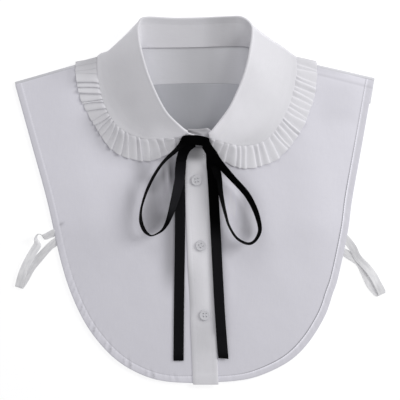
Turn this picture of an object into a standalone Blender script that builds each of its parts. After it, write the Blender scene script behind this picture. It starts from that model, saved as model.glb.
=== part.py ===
# False collar laid flat on a table: half blouse, ruffled collar, ribbon bow and side tapes.
# The tables are in millimetres. X is to the right, Y up the page and Z up off the table.
import math

import bmesh
import bpy
import numpy as np
from mathutils import Matrix, Vector
from mathutils.bvhtree import BVHTree

MM = 0.001
WALL = 1.0  # cloth, as thick as a solid allows
GAP = 0.3  # between two pieces
SLACK = 0.1  # for the flat facets of two curved pieces
HEM_WIDTH = 8.0
HEM_STEP = 0.6  # how far the turned hem stands over the panel
PLACKET_WIDTH = 26.5
PLACKET_WALL = 1.2
PLACKET_TOP_Y = 56.0
PLACKET_FOOT_Y = -192.8
PLACKET_LEFT_X = -7.2  # left edge at the foot
PLACKET_LEAN = 0.0424  # to the left for each millimetre up
UNDER_LAP = 1.5  # front panel under the placket's edge
YOKE_TURN = 3.2  # yoke on the front of each shoulder
ARMHOLE_LEAN = (0.26, -0.16)  # inwards for each millimetre down, left and right
NECK_LIFT = 3.6  # layers ride over the collar's back fall
ROLL = 1.6  # collar's fold round the neckband's edge
LIP = 3.0  # leaf inside the neckband's edge
RUFFLE_BASE = 1.0
RUFFLE_PLEAT = 1.3  # pleat over the ruffle's base
PLEATS = 98
RIBBON_WIDTH = 10.8
RIBBON_WALL = 1.0
TAPE_WIDTH = 8.2
TAPE_WALL = 1.0
BUTTON_RADIUS = 5.7
BUTTON_HEIGHT = 2.2
BUTTON_RIM = 1.1
BUTTON_DISH = 0.5
BUTTON_HOLE = 0.75
BUTTON_HOLE_OFFSET = 1.5
BUTTON_X_Y = ((-3.7, 21.0), (0.8, -47.2), (5.0, -120.0))

# Outer edges of the fronts, from the shoulder seam down to the placket: x, y.
LEFT_EDGE = (
    (-193.6, 121.3),
    (-191.6, 113.6),
    (-176.5, 59.2),
    (-160.4, 0.5),
    (-146.2, -62.0),
    (-134.6, -98.6),
    (-119.0, -130.7),
    (-100.2, -155.2),
    (-81.5, -171.6),
    (-58.7, -183.6),
    (-35.9, -189.6),
    (-5.8, -191.6),
)
RIGHT_EDGE = (
    (182.0, 125.1),
    (180.4, 118.5),
    (168.0, 48.8),
    (159.4, 0.5),
    (155.0, -32.0),
    (145.0, -79.8),
    (138.9, -98.5),
    (130.9, -121.0),
    (114.2, -148.2),
    (93.8, -168.2),
    (64.3, -182.9),
    (37.5, -188.9),
    (-5.2, -191.4),
)
# Shoulder folds from the neck out to the tip: x, y.
LEFT_SHOULDER = ((-64.5, 160.5), (-129.7, 142.8), (-194.2, 124.7))
RIGHT_SHOULDER = ((56.5, 158.2), (122.9, 142.3), (183.3, 128.9))

# Neck, from the left end in front round the back to the right end in front.
# fold x, fold y, fold z, base x, base y: the neckband stands from its base up to the fold.
NECK = (
    (6.0, 68.0, 12.6, 5.5, 57.0),
    (-5.0, 68.4, 12.9, -5.0, 57.4),
    (-14.7, 69.3, 14.0, -17.0, 59.5),
    (-22.3, 76.0, 17.0, -27.0, 68.0),
    (-38.0, 96.0, 22.5, -44.5, 90.0),
    (-51.2, 123.6, 26.5, -59.0, 119.5),
    (-59.8, 150.5, 27.5, -66.5, 146.0),
    (-63.8, 170.0, 24.0, -65.0, 157.5),
    (-64.0, 183.0, 19.5, -61.5, 160.0),
    (-57.5, 190.6, 16.5, -54.0, 160.3),
    (-27.7, 189.8, 15.2, -27.0, 160.5),
    (0.0, 190.2, 15.0, 0.0, 161.0),
    (28.0, 191.5, 15.2, 26.0, 161.8),
    (44.0, 191.0, 16.5, 42.0, 162.0),
    (53.6, 182.5, 19.5, 50.5, 161.0),
    (54.3, 171.0, 22.5, 55.0, 158.5),
    (52.2, 158.0, 25.5, 58.5, 151.0),
    (49.6, 144.0, 27.5, 57.0, 139.0),
    (45.0, 128.0, 27.0, 52.0, 122.5),
    (37.6, 111.8, 25.5, 44.8, 105.5),
    (28.4, 95.3, 22.5, 34.5, 88.5),
    (15.8, 78.4, 16.5, 20.5, 69.5),
    (10.3, 68.8, 13.2, 12.0, 58.5),
    (-1.0, 67.4, 10.6, -1.0, 57.0),
    (-8.0, 67.4, 10.4, -8.0, 57.0),
)
# Fall of the collar: row of the neck that it hangs from, side (1 on the fronts, 0 under the
# back), seam x, seam y, edge x, edge y, how far the seam and the edge stand off the cloth, and
# how far the fall bends down the page before its seam.
FALL = (
    (2.0, 1.0, -18.9, 66.0, -25.5, 53.5, 8.6, 2.2, 0.0),
    (3.0, 1.0, -34.0, 64.8, -38.5, 44.0, 2.6, 0.3, 0.0),
    (4.0, 1.0, -62.7, 65.3, -62.5, 41.3, 0.0, 0.0, 0.0),
    (5.0, 1.0, -85.0, 76.5, -92.0, 52.5, 0.0, 0.0, 0.0),
    (6.0, 1.0, -99.8, 99.5, -120.5, 96.5, 0.0, 0.0, 0.0),
    (7.0, 1.0, -106.6, 127.5, -129.7, 128.0, 0.0, 0.0, 0.0),
    (7.9, 1.0, -107.4, 148.2, -130.4, 142.0, 0.0, 0.0, 2.5),
    (8.2, 0.5, -107.2, 150.3, -130.2, 144.2, 0.0, 0.0, 4.0),
    (8.5, 0.0, -106.4, 148.2, -129.2, 142.0, 0.0, 0.0, 3.0),
    (9.1, 0.0, -90.0, 138.5, -110.0, 122.0, 0.0, 0.0, 0.0),
    (10.0, 0.0, -50.0, 131.5, -58.0, 109.5, 0.0, 0.0, 0.0),
    (11.0, 0.0, 0.0, 130.5, 0.0, 108.0, 0.0, 0.0, 0.0),
    (12.0, 0.0, 36.0, 131.0, 40.0, 108.5, 0.0, 0.0, 0.0),
    (12.8, 0.0, 64.0, 133.5, 72.0, 112.0, 0.0, 0.0, 0.0),
    (13.4, 0.0, 84.0, 139.5, 102.0, 124.0, 0.0, 0.0, 0.0),
    (13.8, 0.0, 98.5, 148.2, 119.0, 143.2, 0.0, 0.0, -1.0),
    (14.1, 0.5, 100.0, 150.8, 121.0, 146.0, 0.0, 0.0, -1.0),
    (14.5, 1.0, 100.6, 148.2, 122.3, 143.2, 0.0, 0.0, -1.0),
    (15.5, 1.0, 101.0, 134.5, 122.0, 129.5, 0.0, 0.0, 0.0),
    (16.7, 1.0, 97.5, 115.0, 118.5, 105.0, 0.0, 0.0, 0.0),
    (18.0, 1.0, 88.0, 88.0, 106.5, 74.0, 0.0, 0.0, 0.0),
    (19.0, 1.0, 69.0, 63.3, 80.5, 42.5, 0.0, 0.0, 0.0),
    (20.0, 1.0, 45.5, 56.2, 45.6, 33.4, 0.3, 0.0, 0.0),
    (21.0, 1.0, 23.0, 60.5, 20.1, 44.2, 3.0, 0.3, 0.0),
    (22.0, 1.0, 11.2, 65.0, 12.4, 52.5, 8.6, 2.2, 0.0),
)
# Soft folds of the fronts: start x, start y, end x, end y, half width, height.
FOLDS = (
    (-46.0, 36.0, -60.0, -40.0, 22.0, 1.2),
    (52.0, 20.0, 66.0, -48.0, 17.0, 2.0),
    (-130.0, 40.0, -96.0, -60.0, 24.0, 1.6),
    (112.0, 60.0, 124.0, -50.0, 24.0, 1.8),
)
# Ribbon pieces: x, y, z over the cloth, compass angle of the width, tilt of the width.
LEFT_TAIL = (
    (-15.6, 55.5, 4.2, 24.0, 0.0),
    (-19.4, 44.0, 1.6, 14.0, 0.0),
    (-21.0, 32.0, 0.8, 2.0, 0.0),
    (-20.9, -35.0, 0.8, 0.0, 0.0),
    (-21.9, -100.0, 0.8, -1.0, 0.0),
    (-22.5, -168.0, 0.8, 0.0, 0.0),
)
RIGHT_TAIL = (
    (8.0, 56.0, 5.6, -20.0, 0.0),
    (12.0, 42.0, 3.0, -10.0, 0.0),
    (13.4, 20.0, 2.3, -3.0, 0.0),
    (16.7, -40.0, 2.3, -3.0, 0.0),
    (20.7, -115.0, 2.3, -3.0, 0.0),
    (24.5, -165.5, 2.3, -5.0, 0.0),
)
LEFT_LOOP = (
    (-24.5, 52.3, 7.2, -46.0, 70.0),
    (-37.3, 40.7, 6.4, -44.0, 79.0),
    (-46.7, 27.6, 6.2, -30.0, 80.0),
    (-55.0, 11.0, 6.2, -23.0, 81.0),
    (-60.1, -4.2, 6.3, -12.0, 85.0),
    (-61.7, -14.1, 6.3, -2.0, 82.0),
    (-61.3, -22.4, 6.1, 11.0, 75.0),
    (-58.4, -30.3, 6.1, 32.0, 76.0),
    (-54.2, -34.9, 6.2, 56.0, 82.0),
    (-49.5, -36.6, 6.3, 90.0, 85.0),
    (-40.2, -31.8, 6.2, 132.0, 80.0),
    (-34.8, -24.4, 5.9, 150.0, 70.0),
    (-30.7, -14.1, 5.5, 160.0, 58.0),
    (-26.8, -1.0, 4.6, 164.0, 42.0),
    (-23.6, 11.0, 3.4, 167.0, 28.0),
    (-21.0, 23.5, 1.6, 170.0, 12.0),
    (-19.6, 41.0, 1.0, 176.0, 4.0),
)
RIGHT_LOOP = (
    (13.4, 47.6, 4.2, 38.0, 24.0),
    (18.8, 40.0, 5.2, 40.0, 44.0),
    (33.5, 23.5, 5.5, 43.0, 58.0),
    (48.4, 6.8, 5.6, 36.0, 61.0),
    (57.4, -9.9, 5.8, 21.0, 66.0),
    (61.9, -25.6, 6.1, 6.0, 74.0),
    (61.6, -34.0, 6.1, -15.0, 78.0),
    (56.5, -42.4, 6.3, -55.0, 82.0),
    (49.3, -44.9, 6.3, -90.0, 83.0),
    (38.3, -39.1, 6.3, -133.0, 83.0),
    (30.3, -26.6, 6.3, -156.0, 83.0),
    (26.5, -14.0, 6.2, -165.0, 79.0),
    (23.5, -1.6, 6.1, -168.0, 73.0),
    (21.3, 10.0, 6.1, -171.0, 66.0),
    (20.4, 19.5, 6.2, -172.0, 63.0),
)
# Side tapes: x, y, z, compass angle of the width, tilt of the width.
LEFT_TAPE = (
    (-152.9, -37.2, 1.6, 104.0, 0.0),
    (-163.0, -39.3, 1.9, 104.0, 8.0),
    (-169.8, -43.8, 2.2, 124.0, 16.0),
    (-174.8, -52.5, 2.2, 148.0, 6.0),
    (-180.6, -63.0, 2.2, 155.0, 0.0),
    (-185.9, -76.0, 1.8, 160.0, 0.0),
    (-189.9, -90.6, 1.4, 163.0, 0.0),
    (-189.0, -90.6, 0.1, 160.0, 0.0),
    (-183.7, -82.4, 0.1, 150.0, 0.0),
    (-177.0, -69.5, 0.1, 142.0, 0.0),
    (-169.4, -61.0, 0.1, 136.0, 0.0),
    (-162.7, -53.4, 0.1, 132.0, 0.0),
    (-149.7, -44.6, 0.1, 108.0, 0.0),
)
RIGHT_TAPE = (
    (154.9, -41.4, 1.6, 80.0, 0.0),
    (160.7, -50.0, 1.9, 42.0, 12.0),
    (165.5, -60.0, 2.2, 38.0, 22.0),
    (174.5, -69.5, 2.2, 38.0, 8.0),
    (181.5, -78.5, 2.0, 32.0, 0.0),
    (186.5, -88.0, 1.8, 27.0, 0.0),
    (190.8, -97.0, 1.4, 24.0, 0.0),
    (189.6, -97.4, 0.1, 24.0, 0.0),
    (179.8, -87.0, 0.1, 28.0, 0.0),
    (172.3, -74.5, 0.1, 32.0, 0.0),
    (166.0, -63.8, 0.1, 42.0, 0.0),
    (150.0, -53.6, 0.1, 82.0, 0.0),
)

WHITE = (0.80, 0.80, 0.82, 1.0)
IVORY = (0.86, 0.86, 0.85, 1.0)
BLACK = (0.012, 0.012, 0.014, 1.0)


def smooth(value, low, high):
    """0 at low, 1 at high, with soft ends."""
    share = np.clip((value - low) / (high - low), 0.0, 1.0)
    return share * share * (3.0 - 2.0 * share)


def through(rows, count):
    """A soft curve through the rows of a table, at even steps along it."""
    rows = np.asarray(rows, float)
    ends = np.vstack([2 * rows[0] - rows[1], rows, 2 * rows[-1] - rows[-2]])
    plan = rows[:, :2]
    steps = np.linalg.norm(np.diff(plan, axis=0), axis=1)
    along = np.concatenate([[0.0], np.cumsum(np.maximum(steps, 0.5))])
    places = np.linspace(0.0, along[-1], count)
    return between(ends, along, places)


def between(ends, along, places):
    """Values at the places along a table whose first and last rows are only guides."""
    found = []
    for place in places:
        k = int(np.clip(np.searchsorted(along, place) - 1, 0, len(along) - 2))
        t = (place - along[k]) / (along[k + 1] - along[k])
        a, b, c, d = ends[k : k + 4]
        bend = (2 * a - 5 * b + 4 * c - d) * t * t + (3 * b - a - 3 * c + d) * t**3
        found.append(0.5 * (2 * b + (c - a) * t + bend))
    return np.array(found)


def polyline(rows, count):
    """Even steps along straight pieces."""
    rows = np.asarray(rows, float)
    steps = np.linalg.norm(np.diff(rows, axis=0), axis=1)
    along = np.concatenate([[0.0], np.cumsum(steps)])
    places = np.linspace(0.0, along[-1], count)
    return np.stack([np.interp(places, along, rows[:, k]) for k in range(rows.shape[1])], axis=1)


def lift(x, y):
    """How far the garment rides up where the collar's fall lies under it."""
    return NECK_LIFT * smooth(-np.abs(x), -186.0, -132.0) * smooth(y, 30.0, 104.0)


def drape(x, y):
    """Soft folds of the fronts."""
    total = np.zeros_like(np.asarray(x, float))
    for x0, y0, x1, y1, half, height in FOLDS:
        run = np.array([x1 - x0, y1 - y0])
        t = np.clip(((x - x0) * run[0] + (y - y0) * run[1]) / run.dot(run), -0.25, 1.25)
        off = np.hypot(x - x0 - t * run[0], y - y0 - t * run[1])
        ends = smooth(t, -0.25, 0.25) * smooth(-t, -1.25, -0.75)
        total = total + height * ends * np.exp(-((off / half) ** 2))
    return total


def front_low(x, y):
    return lift(x, y) * 1.05 + WALL + GAP + SLACK + drape(x, y)


def front_top(x, y):
    return front_low(x, y) + WALL


def placket_left(y):
    return PLACKET_LEFT_X - PLACKET_LEAN * (y - PLACKET_FOOT_Y)


def solid(name, top, low, colour, keep=None, roughness=0.8):
    """A sheet laid out from a grid and extruded: low holds its points, top the moved ones.

    keep(i, j) says which cells of the grid are cloth.
    """
    rows, cols = top.shape[:2]
    body = bmesh.new()
    bmesh.ops.create_grid(body, x_segments=cols - 1, y_segments=rows - 1, size=1.0)
    row_of = body.verts.layers.int.new("row")
    col_of = body.verts.layers.int.new("column")
    for corner in body.verts:
        corner[row_of] = round((corner.co.y + 1.0) * (rows - 1) / 2.0)
        corner[col_of] = round((corner.co.x + 1.0) * (cols - 1) / 2.0)
        corner.co = Vector(low[corner[row_of], corner[col_of]]) * MM
    if keep is not None:
        gone = []
        for face in body.faces:
            i = min(corner[row_of] for corner in face.verts)
            j = min(corner[col_of] for corner in face.verts)
            if not keep(i, j):
                gone.append(face)
        bmesh.ops.delete(body, geom=gone, context="FACES")
    made = bmesh.ops.extrude_face_region(body, geom=body.faces[:], use_keep_orig=True)
    for corner in made["geom"]:
        if isinstance(corner, bmesh.types.BMVert):
            corner.co = Vector(top[corner[row_of], corner[col_of]]) * MM
    bmesh.ops.recalc_face_normals(body, faces=body.faces[:])
    mesh = bpy.data.meshes.new(name)
    body.to_mesh(mesh)
    body.free()
    piece = bpy.data.objects.new(name, mesh)
    bpy.context.scene.collection.objects.link(piece)
    paint(piece, colour, roughness)
    return piece


def top_of(x, y, *names):
    """Height of the highest of the named pieces under each point, or of the table."""
    high = np.zeros(np.shape(x))
    for name in names:
        mesh = bpy.data.objects[name].data
        tree = BVHTree.FromPolygons([v.co for v in mesh.vertices], [f.vertices for f in mesh.polygons])
        for at in np.ndindex(np.shape(x)):
            spot = Vector((x[at] * MM, y[at] * MM, 1.0))
            hit = tree.ray_cast(spot, Vector((0.0, 0.0, -1.0)))[0]
            if hit is not None:
                high[at] = max(high[at], hit.z / MM)
    return high


def paint(made, colour, roughness=0.8):
    material = bpy.data.materials.new(made.name)
    material.use_nodes = True
    shader = material.node_tree.nodes["Principled BSDF"]
    shader.inputs["Base Color"].default_value = colour
    shader.inputs["Roughness"].default_value = roughness
    made.data.materials.append(material)


def slab(x, y, low, wall):
    """Two grids, one straight over the other."""
    under = np.stack([x, y, low], axis=-1)
    over = under + np.array([0.0, 0.0, 1.0]) * np.broadcast_to(wall, x.shape)[..., None]
    return over, under


def thicken(grid, wall):
    """Two grids at half the wall on either side of a curved one."""
    down = np.gradient(grid, axis=0)
    across = np.gradient(grid, axis=1)
    normal = np.cross(down, across)
    normal /= np.linalg.norm(normal, axis=-1, keepdims=True)
    return grid + normal * wall / 2, grid - normal * wall / 2


def front_panel(name, edge, neck, centre):
    """One front between its neck and placket side and its outer edge, with a turned hem."""
    rows = 35
    outer = through(edge, rows)
    inner = np.concatenate([through(neck, 12)[:-1], polyline(centre, rows - 11)])
    reach = np.linalg.norm(outer - inner, axis=1)
    shares = [np.full(rows, s) for s in (0.0, 0.14, 0.28, 0.42, 0.56, 0.7, 0.84)]
    shares.append(1.0 - (HEM_WIDTH + 0.5) / reach)
    shares.append(1.0 - HEM_WIDTH / reach)
    shares.append(np.ones(rows))
    shares = np.stack(shares, axis=1)
    x = inner[:, None, 0] + (outer - inner)[:, None, 0] * shares
    y = inner[:, None, 1] + (outer - inner)[:, None, 1] * shares
    wall = np.full(x.shape, WALL)
    wall[:, -2:] += HEM_STEP
    over, under = slab(x, y, front_low(x, y), wall)
    solid(name, over, under, WHITE)


def build_fronts():
    left_neck = [(-65.9, 156.7)] + [(row[3] - 0.6, row[4] - 0.4) for row in NECK[6:1:-1]]
    right_neck = [(57.4, 154.2)] + [(row[3] + 0.6, row[4] - 0.4) for row in NECK[16:23]]
    head = PLACKET_TOP_Y
    left_centre = (
        (placket_left(head) + UNDER_LAP, head),
        (placket_left(-176.0) + UNDER_LAP, -176.0),
    )
    right_centre = (
        (placket_left(head - 2) + UNDER_LAP + 0.6, head - 2),
        (placket_left(-176.0) + UNDER_LAP + 0.6, -176.0),
    )
    front_panel("front_panel_left", LEFT_EDGE, left_neck + [left_centre[0]], left_centre)
    front_panel("front_panel_right", RIGHT_EDGE, right_neck + [right_centre[0]], right_centre)


def yoke_seam(x):
    """The yoke's lower edge across the back."""
    return 122.5 - 24.0 * (x / 190.0) ** 2


def build_back():
    """Lower back: under the fronts, flat on the table below the neck."""
    rows = 26
    left = through([(x + 1.6, y) for x, y in LEFT_EDGE], 80)
    right = through([(x - 1.6, y) for x, y in RIGHT_EDGE], 80)
    share = np.linspace(0.0, 1.0, rows) ** 0.8
    foot = -188.0
    x = np.zeros((rows, 23))
    y = np.zeros_like(x)
    for i in range(rows):
        head = yoke_seam(185.0) - GAP
        level = head + (foot - head) * share[i]
        x0 = np.interp(-level, -left[:, 1], left[:, 0])
        x1 = np.interp(-level, -right[:, 1], right[:, 0])
        x[i] = np.linspace(x0, x1, x.shape[1])
        top = yoke_seam(x[i]) - GAP
        y[i] = top + (foot - top) * share[i]
    over, under = slab(x, y, lift(x, y), WALL)
    solid("back_panel", over, under, WHITE)


def shoulder_y(x):
    rows = np.array(LEFT_SHOULDER[::-1] + RIGHT_SHOULDER)
    return np.interp(x, rows[:, 0], rows[:, 1])


def build_yoke():
    """Upper back, turned forward over both shoulders."""
    left_tip, right_tip = LEFT_SHOULDER[-1][0], RIGHT_SHOULDER[-1][0]
    left_neck, right_neck = LEFT_SHOULDER[0][0], RIGHT_SHOULDER[0][0]
    x = np.concatenate(
        [
            np.linspace(left_tip, left_neck, 13)[:-1],
            np.linspace(left_neck, right_neck, 13),
            np.linspace(right_neck, right_tip, 13)[1:],
        ]
    )
    radius = WALL / 2 + GAP / 2
    turn = np.linspace(-90.0, 90.0, 5)
    shares = (0.0, 0.25, 0.5, 0.75)
    grid = []
    for at in x:
        fold = shoulder_y(at) - radius - WALL / 2
        base = float(lift(at, shoulder_y(at)))
        lean = ARMHOLE_LEAN[int(at > 0)] * smooth(abs(at), 120.0, 180.0)
        seam = yoke_seam(at + lean * (fold - yoke_seam(at)))
        column = []
        for s in shares:
            y = seam + (fold - seam) * s
            inward = at + lean * (fold - y)
            column.append((inward, y, float(lift(inward, y)) + WALL / 2))
        for angle in np.radians(turn):
            z = base + WALL / 2 + radius + radius * math.sin(angle)
            column.append((at, fold + radius * math.cos(angle), z))
        for s in (0.5, 1.0):
            y = fold - (YOKE_TURN - 2 * radius) * s
            inward = at + lean * (fold - y)
            column.append((inward, y, float(front_low(inward, y)) + WALL / 2))
        grid.append(column)
    over, under = thicken(np.array(grid), WALL)
    last = len(shares)

    def keep(i, j):
        return j < last or i < 12 or i >= 24

    solid("back_yoke", over, under, WHITE, keep)


def build_placket():
    y = np.append(np.linspace(PLACKET_TOP_Y, -172.0, 25), [-177.0, -180.5, -184.0, PLACKET_FOOT_Y])
    shares = np.array([0.0, 0.08, 0.5, 0.92, 1.0])
    x = placket_left(y)[:, None] + PLACKET_WIDTH * shares[None, :]
    y = np.repeat(y[:, None], len(shares), axis=1)
    fronts = ("front_panel_left", "front_panel_right")
    inner = np.maximum(y, -189.0)
    low = np.maximum(top_of(x, inner, *fronts), top_of(x, inner - 2.0, *fronts))
    low = np.maximum(low, front_top(x, y)) + GAP + SLACK
    over, under = slab(x, y, low, PLACKET_WALL)
    solid("button_placket", over, under, WHITE)


def neck_frames(places):
    """Base, top, rise and outward direction of the neckband at these rows of the neck."""
    rows = np.array(NECK)
    behind = (rows[:, 4] > 157.0) & (rows[:, 3] > -63.0) & (rows[:, 3] < 54.0)
    back = lift(rows[:, 3], rows[:, 4]) + WALL
    front = front_top(rows[:, 3], rows[:, 4])
    base_z = np.where(behind, back, front) + 3 * GAP
    placket = (np.abs(rows[:, 3]) < 18.0) & (rows[:, 4] < 62.0)
    base_z = base_z + np.where(placket, PLACKET_WALL + GAP, 0.0)
    table = np.column_stack([rows[:, :3], rows[:, 3:5], base_z])
    ends = np.vstack([2 * table[0] - table[1], table, 2 * table[-1] - table[-2]])
    found = between(ends, np.arange(len(table), dtype=float), places)
    fold, base = found[:, :3], found[:, 3:]
    rise = fold - base
    rise /= np.linalg.norm(rise, axis=1, keepdims=True)
    run = np.gradient(fold + base, axis=0)
    out = np.cross(rise, run)
    out /= np.linalg.norm(out, axis=1, keepdims=True)
    return base, fold - ROLL * rise, rise, out


def neck_places(first, last):
    """Every third of a row, and closer where the fall turns round the shoulders."""
    turns = np.concatenate([np.linspace(7.8, 8.6, 9), np.linspace(13.7, 14.5, 9)])
    thirds = np.linspace(0.0, len(NECK) - 1.0, 3 * len(NECK) - 2)
    places = np.unique(np.round(np.concatenate([turns, thirds]), 6))
    gaps = np.append(np.diff(places), 1.0)
    places = places[gaps > 0.04]
    return places[(places >= first) & (places <= last)]


def build_stand():
    """Neckband round the neck, its ends crossing in front."""
    base, top, _, out = neck_frames(neck_places(0.0, len(NECK) - 1.0))
    share = np.linspace(0.0, 1.0, 4)
    grid = base[:, None] + (top - base)[:, None] * share[None, :, None]
    over, under = thicken(grid, WALL)
    solid("collar_stand", over, under, WHITE)


def fall_rows(places):
    """Side, seam, outer edge and heights of the fall at these rows of the neck."""
    rows = np.array(FALL)
    ends = np.vstack([2 * rows[0] - rows[1], rows, 2 * rows[-1] - rows[-2]])
    found = between(ends, rows[:, 0], places)
    side = np.clip(found[:, 1], 0.0, 1.0)
    up = np.maximum(found[:, 6:8], 0.0)
    return side, found[:, 2:4], found[:, 4:6], up, found[:, 8]


def resting(side, x, y):
    """Height of the side of the fall that faces the blouse, over the fronts or under the back."""
    fronts = top_of(x, y, "front_panel_left", "front_panel_right", "back_yoke", "button_placket")
    fronts = np.maximum(fronts, front_top(x, y)) + GAP + SLACK
    back = lift(x, y) - GAP - SLACK
    return fronts * side + back * (1.0 - side)


def build_leaf():
    """Fall of the collar: over the neckband's edge and down to its seam with the ruffle."""
    places = neck_places(2.0, 22.0)
    _, top, rise, out = neck_frames(places)
    side, seam, _, up, bend = fall_rows(places)
    turned = (2.0 * side - 1.0) * WALL / 2
    seam_z = resting(side, seam[:, 0], seam[:, 1]) + turned + up[:, 0]
    end = np.column_stack([seam, seam_z])
    lip = top - LIP * rise - ROLL * out
    inside = top - ROLL * out
    crest = top + ROLL * rise
    outside = top + ROLL * out
    reach = np.linalg.norm(seam - outside[:, :2], axis=1)
    near = outside + (end - outside) * 0.36
    drop = 0.42 + 0.58 * (1.0 - side)
    near[:, 2] = outside[:, 2] + (end[:, 2] - outside[:, 2]) * drop
    far = outside + (end - outside) * 0.74
    far[:, 2] = end[:, 2] + (outside[:, 2] - end[:, 2]) * 0.13 * side
    flat = outside + (end - outside) * 0.9
    flat[:, 2] = end[:, 2] + 2 * SLACK * side
    wide = np.clip(reach / 30.0, 0.0, 1.0)[:, None]
    far = far * wide + (outside + (end - outside) * 0.74) * (1 - wide)
    flat = flat * wide + (outside + (end - outside) * 0.9) * (1 - wide)
    near[:, 1] -= bend * 0.4
    far[:, 1] -= bend
    grid = np.stack([lip, inside, crest, outside, near, far, flat, end], axis=1)
    over, under = thicken(grid, WALL)
    solid("collar_leaf", over, under, WHITE)


def even_places(count):
    """Rows of the neck at even steps along the ruffle."""
    fine = np.linspace(2.0, 22.0, 1201)
    side, seam, edge, _, _ = fall_rows(fine)
    line = np.column_stack([seam * 0.5 + edge * 0.5, side * 3.0])
    steps = np.linalg.norm(np.diff(line, axis=0), axis=1)
    along = np.concatenate([[0.0], np.cumsum(steps)])
    return np.interp(np.linspace(0.0, along[-1], count), along, fine)


def build_ruffle():
    """Knife-pleated strip: smooth against the blouse and saw-toothed outside."""
    count = 2 * PLEATS + 1
    side, seam, edge, up, _ = fall_rows(even_places(count))
    turn = 4.0 * side * (1.0 - side)
    run = edge - seam
    run /= np.linalg.norm(run, axis=1, keepdims=True)
    start = seam + run * (GAP + 4 * SLACK)
    share = np.array([0.0, 0.5, 1.0])
    plan = start[:, None] + (edge - start)[:, None] * share[None, :, None]
    low = resting(side[:, None] + 0 * share, plan[..., 0], plan[..., 1])
    low = low + up[:, :1] + (up[:, 1:] - up[:, :1]) * share[None, :]
    grid = np.dstack([plan, low])
    normal = np.cross(np.gradient(grid, axis=0), np.gradient(grid, axis=1))
    normal /= np.linalg.norm(normal, axis=-1, keepdims=True)
    if normal[5, 1, 2] < 0:
        normal = -normal
    tooth = np.where(np.arange(count) % 2 == 0, 0.0, RUFFLE_PLEAT) * (1.0 - 0.7 * turn)
    tall = RUFFLE_BASE + tooth[:, None] * np.array([0.4, 0.8, 1.0])[None, :]
    solid("collar_ruffle", grid + normal * tall[..., None], grid, WHITE)


def band(name, rows, count, width, wall, colour, over=(), roughness=0.8):
    """A ribbon along a table of x, y, z, compass angle and tilt of its width."""
    found = through(rows, count)
    yaw, tilt = np.radians(found[:, 3]), np.radians(found[:, 4])
    flat = np.cos(tilt)
    side = np.column_stack([np.cos(yaw) * flat, np.sin(yaw) * flat, np.sin(tilt)])
    z = found[:, 2] + wall / 2
    if over:
        reach = side[:, None] * width * np.linspace(-0.5, 0.5, 5)[None, :, None]
        under = found[:, None, :3] + reach
        high = top_of(under[..., 0], under[..., 1], *over)
        z = z + np.max(high - reach[..., 2], axis=1)
    path = np.column_stack([found[:, :2], z])
    run = np.gradient(path, axis=0)
    normal = np.cross(run, side)
    normal /= np.linalg.norm(normal, axis=1, keepdims=True)
    share = np.array([-0.5, 0.0, 0.5])
    grid = path[:, None] + side[:, None] * width * share[None, :, None]
    over_side = grid + normal[:, None] * wall / 2
    under_side = grid - normal[:, None] * wall / 2
    return solid(name, over_side, under_side, colour, roughness=roughness)


def build_bow():
    lying = {"width": RIBBON_WIDTH, "wall": RIBBON_WALL, "colour": BLACK, "roughness": 0.4}
    cloth = ("front_panel_left", "front_panel_right", "button_placket", "collar_ruffle")
    band("bow_tail_left", LEFT_TAIL, 26, over=cloth, **lying)
    band("bow_tail_right", RIGHT_TAIL, 26, over=cloth, **lying)
    band("bow_loop_left", LEFT_LOOP, 30, over=cloth + ("bow_tail_left",), **lying)
    band("bow_loop_right", RIGHT_LOOP, 30, over=cloth + ("bow_tail_right",), **lying)
    knot = (
        (-19.0, 62.5, 12.7, 88.0, 28.0),
        (-12.0, 63.3, 13.3, 92.0, 28.0),
        (0.0, 62.7, 13.3, 88.0, 28.0),
        (10.0, 61.1, 12.5, 80.0, 28.0),
    )
    band("bow_knot", knot, 12, RIBBON_WIDTH, 1.6, BLACK, roughness=0.4)


def build_straps():
    tape = {"width": TAPE_WIDTH, "wall": TAPE_WALL, "colour": IVORY}
    band("strap_left", LEFT_TAPE, 40, **tape)
    band("strap_right", RIGHT_TAPE, 40, **tape)


def build_buttons():
    """Four-hole buttons with a raised rim."""
    for number, (x, y) in enumerate(BUTTON_X_Y, start=1):
        ring = np.linspace(0.0, 2 * math.pi, 13)
        around_x = np.append(x + BUTTON_RADIUS * np.cos(ring), x)
        around_y = np.append(y + BUTTON_RADIUS * np.sin(ring), y)
        low = float(top_of(around_x, around_y, "button_placket").max()) + GAP
        place = (x * MM, y * MM, (low + BUTTON_HEIGHT / 2) * MM)
        bpy.ops.mesh.primitive_cylinder_add(
            vertices=32, radius=BUTTON_RADIUS * MM, depth=BUTTON_HEIGHT * MM, location=place
        )
        button = bpy.context.object
        button.name = f"button_{number}"
        disc = bmesh.new()
        disc.from_mesh(button.data)
        face = max(disc.faces, key=lambda f: f.calc_center_median().z)
        bmesh.ops.inset_region(disc, faces=[face], thickness=BUTTON_RIM * MM, depth=-BUTTON_DISH * MM)
        disc.to_mesh(button.data)
        disc.free()
        drill = bmesh.new()
        for turn in range(4):
            angle = math.radians(45.0 + 90.0 * turn)
            spot = Vector((math.cos(angle), math.sin(angle), 0.0)) * BUTTON_HOLE_OFFSET * MM
            bmesh.ops.create_cone(
                drill,
                cap_ends=True,
                segments=12,
                radius1=BUTTON_HOLE * MM,
                radius2=BUTTON_HOLE * MM,
                depth=2 * BUTTON_HEIGHT * MM,
                matrix=Matrix.Translation(spot),
            )
        mesh = bpy.data.meshes.new(f"drill_{number}")
        drill.to_mesh(mesh)
        drill.free()
        cutter = bpy.data.objects.new(f"drill_{number}", mesh)
        cutter.location = place
        cutter.hide_render = True
        cutter.display_type = "WIRE"
        bpy.context.scene.collection.objects.link(cutter)
        cut = button.modifiers.new("holes", "BOOLEAN")
        cut.operation = "DIFFERENCE"
        cut.object = cutter
        paint(button, IVORY, 0.35)


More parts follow.
